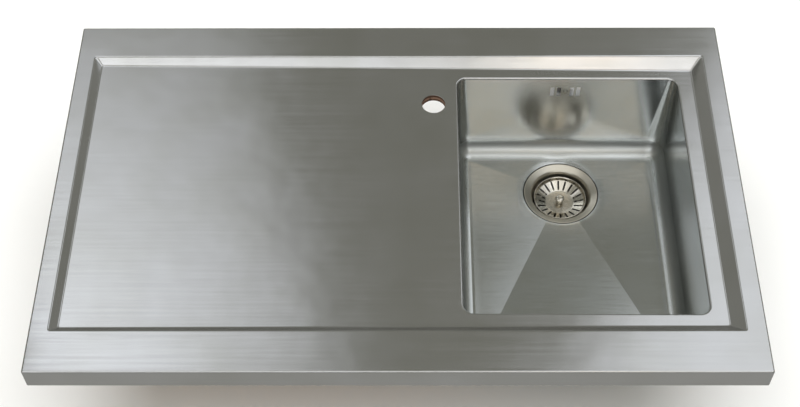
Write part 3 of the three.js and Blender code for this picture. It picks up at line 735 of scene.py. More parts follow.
def lay_brush_map(piece: Any, grain: Grain, centre: Point) -> None:
    """Lays a map whose first direction follows the brush lines, in metres.

    Args:
        piece: The piece that gets the map.
        grain: How its lines run.
        centre: The axis of a turned piece, in millimetres.
    """
    mesh = piece.data
    while mesh.uv_layers:
        mesh.uv_layers.remove(mesh.uv_layers[0])
    layer = mesh.uv_layers.new(name=BRUSH_MAP)
    axis = Vector((*centre, 0)) * MM
    for face in mesh.polygons:
        normal = face.normal
        middle = face.center - axis
        for corner in face.loop_indices:
            p = mesh.vertices[mesh.loops[corner].vertex_index].co
            if grain is Grain.TURNED:
                q = p - axis
                turn = Vector((middle.x, middle.y, 0)).angle(Vector((q.x, q.y, 0)), 0)
                cross = middle.x * q.y - middle.y * q.x
                start = math.atan2(middle.y, middle.x)
                radius = math.hypot(middle.x, middle.y)
                along = radius * (start + math.copysign(turn, cross))
                layer.data[corner].uv = (along, math.hypot(q.x, q.y) + q.z)
            elif abs(normal.z) > grain.value:
                layer.data[corner].uv = (p.x, p.y)
            elif abs(normal.y) >= abs(normal.x):
                layer.data[corner].uv = (p.x, p.z)
            else:
                layer.data[corner].uv = (p.y, p.z)


def complete(
    piece: Any,
    finish: Finish,
    *nodes: str,
    body: Body = Body.SINK,
    grain: Grain = Grain.PRESSED,
    centre: Point = (0.0, 0.0),
) -> None:
    """Shades, maps and paints a piece, and ties it to the frame.

    Args:
        piece: A plain mesh object.
        finish: The finish of its material.
        nodes: CAD nodes that it stands for.
        body: The body that it rides on.
        grain: How brush lines run over it.
        centre: The axis of a turned piece, in millimetres.
    """
    piece.data.shade_smooth()
    piece.data.set_sharp_from_angle(angle=math.radians(CREASE_DEGREES))
    lay_brush_map(piece, grain, centre)
    weighted = piece.modifiers.new("even_shading", "WEIGHTED_NORMAL")
    weighted.keep_sharp = True
    settle(piece)
    piece.data.name = piece.name
    piece.data.materials.clear()
    piece.data.materials.append(finish.material())
    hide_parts(*nodes)
    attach(piece, body.value)
    log.info("%s: %d faces for %s", piece.name, len(piece.data.polygons), ", ".join(nodes))


def loft(rings: Sequence[Ring], closed: bool) -> tuple[list[Place], list[tuple[int, ...]]]:
    """Joins rings of equal counts by strips of four-sided faces.

    Args:
        rings: The rings, in order.
        closed: Whether the last ring joins the first. If not, both ends stay open.

    Returns:
        Points and faces.
    """
    count = len(rings[0])
    points = [p for ring in rings for p in ring]
    faces: list[tuple[int, ...]] = []
    for k in range(len(rings) if closed else len(rings) - 1):
        a, b = k * count, (k + 1) % len(rings) * count
        for i in range(count):
            j = (i + 1) % count
            faces.append((a + i, a + j, b + j, b + i))
    return points, faces


def soft_bend(before: Point, corner: Point, after: Point, steps: int = 4) -> list[Point]:
    """A curve that leaves one straight line and joins the next.

    Args:
        before: Where the first line ends.
        corner: Where the two lines would meet.
        after: Where the second line starts.
        steps: Stretches on the curve.

    Returns:
        The curve's points.
    """
    made = []
    for k in range(steps + 1):
        t = k / steps
        weights = ((1 - t) ** 2, 2 * t * (1 - t), t * t)
        x, y = (
            sum(w * p[axis] for w, p in zip(weights, (before, corner, after))) for axis in (0, 1)
        )
        made.append((x, y))
    return made


def eased(corners: Sequence[Place], closed: bool) -> list[Point]:
    """Rounds the corners of a profile, each by less than half of the lines that it joins.

    Args:
        corners: Radius, height and rounding of each corner.
        closed: Whether the profile closes on itself.

    Returns:
        The profile's points.
    """
    made: list[Point] = []
    count = len(corners)
    for i, (x, y, rounding) in enumerate(corners):
        if rounding <= 0 or not (closed or 0 < i < count - 1):
            made.append((x, y))
            continue
        here = Vector((x, y))
        before = Vector(corners[i - 1][:2]) - here
        after = Vector(corners[(i + 1) % count][:2]) - here
        reach = min(rounding, before.length * 0.45, after.length * 0.45)
        made += soft_bend(
            here + before.normalized() * reach, here, here + after.normalized() * reach
        )
    return made


def turned(name: str, profile: Sequence[Point], centre: Point, steps: int, closed: bool) -> Any:
    """Turns a profile of radii and heights round an upright axis.

    Args:
        name: The object's name.
        profile: Radii and heights, in millimetres.
        centre: The axis, in millimetres.
        steps: Faces round the axis.
        closed: Whether the profile closes on itself. If not, it starts and ends on the axis.

    Returns:
        The object.
    """
    angles = [2 * math.pi * i / steps for i in range(steps)]
    rings = [
        [(centre[0] + r * math.cos(a), centre[1] + r * math.sin(a), z) for a in angles]
        for r, z in profile
    ]
    return new_object(name, *loft(rings, closed))


@dataclass(frozen=True)
class Sides:
    """A rectangle in plan, by its four sides."""

    left: float
    right: float
    front: float
    back: float

    @property
    def middle(self) -> Point:
        """The rectangle's middle."""
        return (self.left + self.right) / 2, (self.front + self.back) / 2

    def grown(self, by: float) -> "Sides":
        """Moves every side outwards."""
        return Sides(self.left - by, self.right + by, self.front - by, self.back + by)


def outline(
    sides: Sides, radius: float, focus: Point, corner_steps: int, side_steps: Sequence[int]
) -> list[Point]:
    """Lays points round a rectangle with round corners, anticlockwise from the front left.

    The points on a side lie at equal angles seen from the focus, so that rings line up.

    Args:
        sides: The rectangle.
        radius: Its corners' radius.
        focus: The point that the rings go round.
        corner_steps: Stretches on a corner.
        side_steps: Stretches on the front, right, back and left sides.

    Returns:
        The points in plan.
    """
    corners = [
        (sides.left + radius, sides.front + radius, math.pi),
        (sides.right - radius, sides.front + radius, math.pi * 1.5),
        (sides.right - radius, sides.back - radius, 0.0),
        (sides.left + radius, sides.back - radius, math.pi * 0.5),
    ]
    arcs = [
        [(x + radius * math.cos(start + a), y + radius * math.sin(start + a))
         for a in quarter(corner_steps)]
        for x, y, start in corners
    ]
    points: list[Point] = []
    for k, arc in enumerate(arcs):
        points += arc
        points += points_between(arc[-1], arcs[(k + 1) % len(arcs)][0], focus, side_steps[k])
    return points


def points_between(start: Point, end: Point, focus: Point, steps: int) -> list[Point]:
    """Divides a straight side at equal angles seen from the focus.

    Args:
        start: The side's first point.
        end: Its last point.
        focus: Where the angles are measured.
        steps: How many stretches.

    Returns:
        The points between the ends.
    """
    from_angle = math.atan2(start[1] - focus[1], start[0] - focus[0])
    turn = math.atan2(end[1] - focus[1], end[0] - focus[0]) - from_angle
    if turn < 0:
        turn += 2 * math.pi
    along = (end[0] - start[0], end[1] - start[1])
    offset = (start[0] - focus[0], start[1] - focus[1])
    points = []
    for i in range(1, steps):
        angle = from_angle + turn * i / steps
        ray = (math.cos(angle), math.sin(angle))
        share = (ray[0] * offset[1] - ray[1] * offset[0]) / (ray[1] * along[0] - ray[0] * along[1])
        points.append((start[0] + along[0] * share, start[1] + along[1] * share))
    return points


def quarter(steps: int) -> list[float]:
    """Angles from 0 to a right angle in equal steps."""
    return [math.pi / 2 * i / steps for i in range(steps + 1)]


# ---------------------------------------------------------------- geometry nodes

SOCKET_KINDS = {
    int: "NodeSocketInt",
    float: "NodeSocketFloat",
    Vector: "NodeSocketVector",
    bpy.types.Material: "NodeSocketMaterial",
}


def grow(
    piece: Any, build: Callable[[Any, Any], Any], finish: Finish, sizes: dict[str, Any]
) -> None:
    """Runs a geometry node tree on a piece and keeps the result as the piece's plain mesh.

    The tree has one named input for each size, and ends in Realize Instances and Set Material.

    Args:
        piece: The object that feeds the tree.
        build: Adds the tree's own nodes to it, from its input sockets, and returns the node that
            gives the shape. The tree is named for it.
        finish: The finish that the tree sets.
        sizes: The inputs' values by name: lengths and places in metres, and counts.
    """
    tree = bpy.data.node_groups.new(build.__name__, "GeometryNodeTree")
    for way in ("INPUT", "OUTPUT"):
        tree.interface.new_socket(name="Mesh", in_out=way, socket_type="NodeSocketGeometry")
    values = {**sizes, "Finish": finish.material()}
    identifiers = {}
    for label, value in values.items():
        kind = SOCKET_KINDS[type(value)]
        socket = tree.interface.new_socket(name=label, in_out="INPUT", socket_type=kind)
        identifiers[label] = socket.identifier
    inputs = tree.nodes.new("NodeGroupInput").outputs
    real = add_node(tree, "GeometryNodeRealizeInstances", {0: build(tree, inputs)})
    done = add_node(tree, "GeometryNodeSetMaterial", {0: real, "Material": inputs["Finish"]})
    add_node(tree, "NodeGroupOutput", {0: done})
    modifier = piece.modifiers.new(tree.name, "NODES")
    modifier.node_group = tree
    for label, value in values.items():
        modifier[identifiers[label]] = value
    settle(piece)


def turned_copies(tree: Any, mesh: Any, count: Any) -> Any:
    """Adds nodes that set copies of a mesh at even turns round the Z axis.

    Args:
        tree: The tree.
        mesh: The node or socket of the mesh.
        count: The socket of the number of copies.

    Returns:
        The node of the instances.
    """
    spots = add_node(tree, "GeometryNodeMeshLine", {"Count": count, "Offset": (0.0, 0.0, 0.0)})
    number = add_node(tree, "GeometryNodeInputIndex")
    share = add_node(tree, "ShaderNodeMath", {0: number, 1: count}, operation="DIVIDE")
    angle = add_node(tree, "ShaderNodeMath", {0: share, 1: 2 * math.pi}, operation="MULTIPLY")
    turn = add_node(tree, "ShaderNodeCombineXYZ", {"Z": angle})
    return add_node(
        tree,
        "GeometryNodeInstanceOnPoints",
        {"Points": spots, "Instance": mesh, "Rotation": turn},
    )


def cut_from(tree: Any, solid: Any, tools: Any) -> Any:
    """Adds nodes that cut tools out of a solid.

    Args:
        tree: The tree.
        solid: The socket of the solid.
        tools: The node of the tools, which may be instances.

    Returns:
        The node of what is left.
    """
    real = add_node(tree, "GeometryNodeRealizeInstances", {0: tools})
    return add_node(
        tree,
        "GeometryNodeMeshBoolean",
        {"Mesh 1": solid, "Mesh 2": real},
        operation="DIFFERENCE",
    )


def ring_punch(tree: Any, sizes: Any) -> Any:
    """Punches a ring of round holes through a piece.

    Args:
        tree: The tree.
        sizes: Its inputs Holes, Facets, Circle, Radius, Depth and Centre.

    Returns:
        The node of the punched piece.
    """
    out = add_node(tree, "ShaderNodeCombineXYZ", {"X": sizes["Circle"]})
    punch = add_node(
        tree,
        "GeometryNodeMeshCylinder",
        {"Vertices": sizes["Facets"], "Radius": sizes["Radius"], "Depth": sizes["Depth"]},
    )
    moved = add_node(tree, "GeometryNodeTransform", {0: punch, "Translation": out})
    punches = turned_copies(tree, moved, sizes["Holes"])
    placed = add_node(
        tree, "GeometryNodeTransform", {0: punches, "Translation": sizes["Centre"]}
    )
    return cut_from(tree, sizes["Mesh"], placed)


def overflow_slots(tree: Any, sizes: Any) -> Any:
    """Punches two pairs of upright slots and a round hole between them.

    Args:
        tree: The tree.
        sizes: Its inputs Width, Height, Corner, Corner Steps, Slot Spacing, Pair Spacing, Hole,
            Hole Facets, Reach and Centre.

    Returns:
        The node of the punched piece.
    """
    shape = add_node(
        tree,
        "GeometryNodeCurvePrimitiveQuadrilateral",
        {"Width": sizes["Width"], "Height": sizes["Height"]},
    )
    rounded = add_node(
        tree,
        "GeometryNodeFilletCurve",
        {"Curve": shape, "Radius": sizes["Corner"], "Count": sizes["Corner Steps"]},
        mode="POLY",
    )
    flat = add_node(tree, "GeometryNodeFillCurve", {0: rounded}, mode="NGONS")
    slab = add_node(
        tree,
        "GeometryNodeExtrudeMesh",
        {"Mesh": flat, "Offset Scale": sizes["Reach"], "Individual": False},
        mode="FACES",
    )
    slot = add_node(tree, "GeometryNodeJoinGeometry", {0: slab})
    feed(tree, slot, {0: add_node(tree, "GeometryNodeFlipFaces", {0: flat})})
    sealed = add_node(tree, "GeometryNodeMergeByDistance", {0: slot})
    rows = []
    for spacing in ("Pair Spacing", "Slot Spacing"):
        step = add_node(tree, "ShaderNodeCombineXYZ", {"X": sizes[spacing]})
        start = add_node(tree, "ShaderNodeVectorMath", {0: step, "Scale": -0.5}, operation="SCALE")
        line = {"Count": 2, "Start Location": start, "Offset": step}
        rows.append(add_node(tree, "GeometryNodeMeshLine", line))
    pairs = add_node(
        tree, "GeometryNodeInstanceOnPoints", {"Points": rows[0], "Instance": rows[1]}
    )
    places = add_node(tree, "GeometryNodeRealizeInstances", {0: pairs})
    slots = add_node(
        tree, "GeometryNodeInstanceOnPoints", {"Points": places, "Instance": sealed}
    )
    drill = add_node(
        tree,
        "GeometryNodeMeshCylinder",
        {"Vertices": sizes["Hole Facets"], "Radius": sizes["Hole"], "Depth": sizes["Reach"]},
    )
    half = add_node(tree, "ShaderNodeMath", {0: sizes["Reach"], 1: 0.5}, operation="MULTIPLY")
    lift = add_node(tree, "ShaderNodeCombineXYZ", {"Z": half})
    tools = add_node(tree, "GeometryNodeJoinGeometry", {0: slots})
    hole = add_node(tree, "GeometryNodeTransform", {0: drill, "Translation": lift})
    feed(tree, tools, {0: hole})
    upright = add_node(
        tree,
        "GeometryNodeTransform",
        {0: tools, "Rotation": (math.pi / 2, 0, 0), "Translation": sizes["Centre"]},
    )
    return cut_from(tree, sizes["Mesh"], upright)


def polar_repeat(tree: Any, sizes: Any) -> Any:
    """Repeats one sector all the way round an axis and joins the copies.

    Args:
        tree: The tree.
        sizes: Its inputs Count and Centre.

    Returns:
        The node of the whole round.
    """
    copies = turned_copies(tree, sizes["Mesh"], sizes["Count"])
    real = add_node(tree, "GeometryNodeRealizeInstances", {0: copies})
    joined = add_node(
        tree, "GeometryNodeMergeByDistance", {0: real, "Distance": 2 * MERGE_REACH}
    )
    return add_node(tree, "GeometryNodeTransform", {0: joined, "Translation": sizes["Centre"]})


def cross_recessed_screws(tree: Any, sizes: Any) -> Any:
    """Sinks a cross recess into a screw's head and sets four copies in rows and columns.

    Args:
        tree: The tree. Its mesh is the blank screw.
        sizes: Its inputs Arm, Slot, Sink, Rows, Columns and First.

    Returns:
        The node of the screws.
    """
    cross = add_node(tree, "GeometryNodeJoinGeometry")
    for across, long in (("Slot", "Arm"), ("Arm", "Slot")):
        extent = {"X": sizes[across], "Y": sizes[long], "Z": sizes["Sink"]}
        size = add_node(tree, "ShaderNodeCombineXYZ", extent)
        feed(tree, cross, {0: add_node(tree, "GeometryNodeMeshCube", {"Size": size})})
    recessed = cut_from(tree, sizes["Mesh"], cross)
    columns = add_node(
        tree, "GeometryNodeMeshLine", {"Count": 2, "Offset": sizes["Columns"]}
    )
    rows = add_node(
        tree,
        "GeometryNodeMeshLine",
        {"Count": 2, "Start Location": sizes["First"], "Offset": sizes["Rows"]},
    )
    grid = add_node(tree, "GeometryNodeInstanceOnPoints", {"Points": rows, "Instance": columns})
    places = add_node(tree, "GeometryNodeRealizeInstances", {0: grid})
    return add_node(
        tree, "GeometryNodeInstanceOnPoints", {"Points": places, "Instance": recessed}
    )


def driving_slot(tree: Any, sizes: Any) -> Any:
    """Mills one straight slot.

    Args:
        tree: The tree.
        sizes: Its inputs Size and Centre.

    Returns:
        The node of the milled piece.
    """
    cutter = add_node(tree, "GeometryNodeMeshCube", {"Size": sizes["Size"]})
    placed = add_node(
        tree, "GeometryNodeTransform", {0: cutter, "Translation": sizes["Centre"]}
    )
    return cut_from(tree, sizes["Mesh"], placed)


# ---------------------------------------------------------------- the pressed top


@dataclass
class PressedTop:
    """The worktop: folded edge, flat border, sunk tray and the rolled rim of the opening."""

    length: float = 1000.0
    depth: float = 620.0
    edge_height: float = 38.0
    sheet: float = 1.2
    fold_radius: float = 2.5
    least_radius: float = 0.4
    return_width: float = 15.0
    border: Sides = Sides(26.5, 28.0, 64.0, 61.0)
    tray_left: float = 10.2
    tray_right: float = 16.7
    corner_radius: float = 4.0
    foot_corner_radius: float = 3.0
    bend_reach: float = 1.8
    rim_radius: float = 3.0
    rim_lip: float = 8.0
    opening: Sides = Sides(91.0, 431.0, -209.5, 215.5)
    opening_corner: float = 15.0
    tap_hole: Place = (53.5, 164.0, 18.0)
    tap_hole_facets: int = 96
    corner_steps: int = 8
    side_steps: tuple[int, ...] = (20, 16, 20, 16)
    seen_steps: int = 8
    return_steps: int = 6
    hidden_steps: int = 3

    def __post_init__(self) -> None:
        """Works out the outer sides and the tray's ends."""
        self.outer = Sides(-self.length / 2, self.length / 2, -self.depth / 2, self.depth / 2)
        self.foot_left = self.outer.left + self.border.left + self.tray_left
        self.foot_right = self.outer.right - self.border.right - self.tray_right
        self.focus = self.opening.middle

    def tray_depth(self, x: float) -> float:
        """How far the tray lies below the border at a place along the top."""
        share = (x - self.foot_left) / (self.foot_right - self.foot_left)
        return self.tray_left + (self.tray_right - self.tray_left) * share

    def tray_floor(self, x: float) -> float:
        """The height of the tray's floor at a place along the top."""
        return self.edge_height - self.tray_depth(x)

    @property
    def lip_bottom(self) -> float:
        """The lowest height of the lip that the bowl is welded to."""
        return self.tray_floor(self.focus[0]) - self.rim_lip

    def ring(self, sides: Sides, radius: float) -> list[Point]:
        """A ring of the top in plan."""
        return outline(sides, radius, self.focus, self.corner_steps, self.side_steps)

    def edge_ring(self, inset: float, height: float) -> Ring:
        """A level ring parallel to the outer edge."""
        radius = max(self.least_radius, self.fold_radius - inset)
        return [(x, y, height) for x, y in self.ring(self.outer.grown(-inset), radius)]

    def tray_ring(self, at_foot: bool, inward: float, down: float) -> Ring:
        """A ring on the bevel round the tray.

        Args:
            at_foot: Whether it belongs to the foot of the bevel or to its top.
            inward: How far inside the bend's own line.
            down: How far below the bend's own line.

        Returns:
            The ring.
        """
        outer, border = self.outer, self.border
        sides = Sides(
            outer.left + border.left + (self.tray_left if at_foot else 0) + inward,
            outer.right - border.right - (self.tray_right if at_foot else 0) - inward,
            outer.front + border.front + inward,
            outer.back - border.back - inward,
        )
        middle = sides.middle[1]
        half = (sides.back - sides.front) / 2
        ring = []
        for x, y in self.ring(sides, self.foot_corner_radius if at_foot else self.corner_radius):
            fall = self.tray_depth(x) if at_foot else 0.0
            ring.append((x, y - (y - middle) / half * fall, self.edge_height - fall - down))
        return ring

    def rim_ring(self, outside: float, height_at: Callable[[float], float]) -> Ring:
        """A ring round the opening, at a distance outside it."""
        plan = self.ring(self.opening.grown(outside), self.opening_corner + outside)
        return [(x, y, height_at(x)) for x, y in plan]

    def outer_face(self) -> list[Ring]:
        """Lays the visible face, from the folded return to the opening's lip.

        Returns:
            Its rings.
        """
        rings = [self.edge_ring(self.return_width, 0.0)]
        fold, top = self.fold_radius, self.edge_height
        for a in quarter(self.return_steps):
            rings.append(self.edge_ring(fold * (1 - math.sin(a)), fold * (1 - math.cos(a))))
        for a in quarter(self.seen_steps):
            rings.append(self.edge_ring(fold * (1 - math.cos(a)), top - fold * (1 - math.sin(a))))
        reach = self.bend_reach
        slant = reach * math.sqrt(0.5)
        for inward, down in soft_bend((-reach, 0), (0, 0), (slant, slant)):
            rings.append(self.tray_ring(False, inward, down))
        for inward, down in soft_bend((-slant, -slant), (0, 0), (reach, 0)):
            rings.append(self.tray_ring(True, inward, down))
        for a in quarter(self.seen_steps):
            sunk = self.rim_radius * (1 - math.cos(a))
            outside = self.rim_radius * (1 - math.sin(a))
            rings.append(self.rim_ring(outside, lambda x, s=sunk: self.tray_floor(x) - s))
        rings.append(self.rim_ring(0, lambda x: self.lip_bottom))
        return rings

    def inner_face(self) -> list[Ring]:
        """Lays the hidden face, from the lip back to the folded return.

        Returns:
            Its rings.
        """
        sheet, fold = self.sheet, self.fold_radius - self.sheet
        inner_rim = self.rim_radius - sheet
        rings = [self.rim_ring(sheet, lambda x: self.lip_bottom)]
        for a in reversed(quarter(self.hidden_steps)):
            sunk = self.rim_radius - inner_rim * math.cos(a)
            outside = self.rim_radius - inner_rim * math.sin(a)
            rings.append(self.rim_ring(outside, lambda x, s=sunk: self.tray_floor(x) - s))
        # Under a bend of 45 degrees, a parallel sheet bends this much nearer the border.
        under = -sheet * math.tan(math.pi / 8)
        rings.append(self.tray_ring(True, under, sheet))
        rings.append(self.tray_ring(False, under, sheet))
        for a in reversed(quarter(self.hidden_steps)):
            height = self.edge_height - sheet - fold * (1 - math.sin(a))
            rings.append(self.edge_ring(sheet + fold * (1 - math.cos(a)), height))
        for a in reversed(quarter(self.hidden_steps)):
            inset = sheet + fold * (1 - math.sin(a))
            rings.append(self.edge_ring(inset, sheet + fold * (1 - math.cos(a))))
        rings.append(self.edge_ring(self.return_width, sheet))
        return rings

    def build(self) -> None:
        """Builds the sheet, punches the tap hole and finishes it."""
        piece = new_object("pressed_top", *loft(self.outer_face() + self.inner_face(), True))
        x, y, radius = self.tap_hole
        punch = {
            "Holes": 1,
            "Facets": self.tap_hole_facets,
            "Circle": 0.0,
            "Radius": radius * MM,
            "Depth": self.edge_height * MM,
            "Centre": Vector((x, y, self.edge_height / 2)) * MM,
        }
        grow(piece, ring_punch, SATIN_STEEL, punch)
        complete(piece, SATIN_STEEL, "worktop_skin")


# ---------------------------------------------------------------- the bowl


@dataclass
class DeepBowl:
    """The drawn bowl: straight walls, a rounded foot and a floor in four planes to the drain."""

    top: PressedTop
    depth: float = 176.0
    sheet: float = 1.0
    corner_radius: float = 15.0
    deep_corner_radius: float = 28.0
    least_corner: float = 1.0
    floor_fillet: float = 26.0
    floor_fall: float = 2.4
    drain_from_back: float = 89.0
    seat_radius: float = 60.0
    seat_edge: float = 1.0
    seat_shoulder: float = 6.0
    seat_slope: float = 0.22
    seat_step: float = 0.3
    seat_drop: float = 3.3
    mouth_radius: float = 48.0
    mouth_drop: float = 5.0
    side_lean: float = 0.06
    front_lean: float = 0.02
    lean_from: float = 0.01
    level_enough: float = 0.995
    corner_steps: int = 12
    side_steps: tuple[int, ...] = (14, 16, 20, 16)
    fillet_steps: int = 10
    floor_rings: int = 10
    overflow_drop: float = 23.3
    slot: Point = (6.4, 20.8)
    slot_corner: float = 1.4
    slot_spacing: float = 10.4
    pair_spacing: float = 30.4
    slot_corner_steps: int = 4
    screw_hole: float = 2.8
    screw_hole_facets: int = 24
    punch_reach: float = 8.0

    def __post_init__(self) -> None:
        """Works out the drain's place and the floor's height."""
        self.sides = self.top.opening
        self.flat = self.sides.grown(-self.floor_fillet)
        self.drain = (self.top.focus[0], self.sides.back - self.drain_from_back)
        self.floor = self.top.tray_floor(self.top.focus[0]) - self.depth
        self.foot_height = self.floor + self.floor_fillet
        front_of_seat = self.drain[1] - self.seat_radius
        self.rim = self.floor_height(self.drain[0], front_of_seat) - self.seat_step

    def seat_cone(self, radius: float) -> float:
        """The highest that the floor may stand near the seat, which a shallow cone leads to."""
        return self.rim + (radius - self.seat_radius) * self.seat_slope

    def plane_shares(self, x: float, y: float) -> list[float]:
        """How far a place is on the way to the drain from each edge of the floor.

        Args:
            x: The place along X.
            y: The place along Y.

        Returns:
            Shares from the left, right, front and back edges. The least one names the plane.
        """
        cx, cy = self.drain
        return [
            (x - self.flat.left) / (cx - self.flat.left),
            (self.flat.right - x) / (self.flat.right - cx),
            (y - self.flat.front) / (cy - self.flat.front),
            (self.flat.back - y) / (self.flat.back - cy),
        ]

    def floor_height(self, x: float, y: float) -> float:
        """The height of the creased floor at a place in plan."""
        return self.floor - self.floor_fall * max(0.0, min(self.plane_shares(x, y)))

    def from_drain(self, x: float, y: float) -> Point:
        """The direction and the distance of a place in plan, seen from the drain."""
        across, back = x - self.drain[0], y - self.drain[1]
        return math.atan2(back, across), math.hypot(across, back)

    def round_drain(self, angle: float, radius: float) -> Point:
        """The place in plan at a direction and a distance from the drain."""
        return self.drain[0] + radius * math.cos(angle), self.drain[1] + radius * math.sin(angle)

    def wall_ring(self, inset: float, radius: float, height: float) -> Ring:
        """Lays a level ring on the walls.

        Args:
            inset: How far inside the top of the walls.
            radius: Its corners' radius.
            height: Its height.

        Returns:
            The ring.
        """
        sides = self.sides.grown(-inset)
        plan = outline(sides, radius, self.drain, self.corner_steps, self.side_steps)
        return [(x, y, height) for x, y in plan]

    def face(self, offset: float) -> list[Ring]:
        """Lays one face of the shell, from the top of the wall to the drain.

        Args:
            offset: How far outside the inner face it lies.

        Returns:
            Its rings.
        """
        fillet = self.floor_fillet + offset
        rings = [self.wall_ring(-offset, self.corner_radius + offset, self.top.lip_bottom)]
        for a in quarter(self.fillet_steps):
            inset = self.floor_fillet - fillet * math.cos(a)
            radius = max(self.least_corner, self.deep_corner_radius - inset)
            rings.append(self.wall_ring(inset, radius, self.foot_height - fillet * math.sin(a)))
        # The lowest rings give way where the seat's cone comes near the wall.
        for ring in rings[-3:]:
            for i, (x, y, z) in enumerate(ring):
                _, far = self.from_drain(x, y)
                ring[i] = (x, y, min(z, self.seat_cone(far) - offset))
        rays = [self.from_drain(x, y) for x, y, _ in rings[-1]]
        near = self.seat_radius + self.seat_shoulder
        for k in range(1, self.floor_rings + 1):
            ring = []
            for angle, far in rays:
                radius = far + (near - far) * k / self.floor_rings
                px, py = self.round_drain(angle, radius)
                height = min(self.floor_height(px, py), self.seat_cone(radius))
                ring.append((px, py, height - offset))
            rings.append(ring)
        bottom = self.rim - self.seat_drop
        for radius, height in (
            (self.seat_radius + self.seat_edge, self.rim),
            (self.seat_radius + self.seat_edge / 2, self.rim - self.seat_step),
            (self.seat_radius + offset / 2, bottom),
            (self.mouth_radius, bottom - self.mouth_drop),
        ):
            rings.append([(*self.round_drain(angle, radius), height - offset) for angle, _ in rays])
        return rings

    def build(self) -> None:
        """Builds the shell, punches the overflow slots and finishes it."""
        rings = self.face(0.0) + self.face(self.sheet)[::-1]
        piece = new_object("deep_bowl", *loft(rings, True))
        height = self.top.lip_bottom - self.overflow_drop
        sizes = {
            "Width": self.slot[0] * MM,
            "Height": self.slot[1] * MM,
            "Corner": self.slot_corner * MM,
            "Corner Steps": self.slot_corner_steps,
            "Slot Spacing": self.slot_spacing * MM,
            "Pair Spacing": self.pair_spacing * MM,
            "Hole": self.screw_hole * MM,
            "Hole Facets": self.screw_hole_facets,
            "Reach": self.punch_reach * MM,
            "Centre": Vector((self.drain[0], self.sides.back + self.punch_reach / 2, height)) * MM,
        }
        grow(piece, overflow_slots, BOWL_STEEL, sizes)
        complete(piece, BOWL_STEEL, "bowl_wall", "bowl_base", grain=Grain.DRAWN)
        self.mark_bends(piece.data)
        self.mark_planes(piece.data)

    def mark_bends(self, mesh: Any) -> None:
        """Marks how tightly the foot of the wall is bent, most of all half way down.

        Args:
            mesh: The bowl's mesh.
        """
        bends = mesh.attributes.new(BEND_MAP, "FLOAT", "POINT")
        for point in mesh.vertices:
            sunk = (self.foot_height - point.co.z / MM) / self.floor_fillet
            share = min(1.0, max(0.0, sunk))
            bends.data[point.index].value = 4 * share * (1 - share)

    def mark_planes(self, mesh: Any) -> None:
        """Marks how much each plane of the floor leans beyond the mesh's own fall.

        Args:
            mesh: The bowl's mesh.
        """
        leans = (
            (self.side_lean, 0.0, 0.0),
            (-self.side_lean, 0.0, 0.0),
            (0.0, self.front_lean, 0.0),
            (0.0, 0.0, 0.0),
        )
        marks = mesh.attributes.new(LEAN_MAP, "FLOAT_VECTOR", "FACE")
        for face in mesh.polygons:
            x, y, _ = face.center / MM
            far = self.from_drain(x, y)[1]
            if abs(face.normal.z) < self.level_enough or far < self.seat_radius:
                continue
            shares = self.plane_shares(x, y)
            least = min(shares)
            full = Vector(leans[shares.index(least)])
            marks.data[face.index].vector = full * min(1.0, least / self.lean_from)


# ---------------------------------------------------------------- the waste


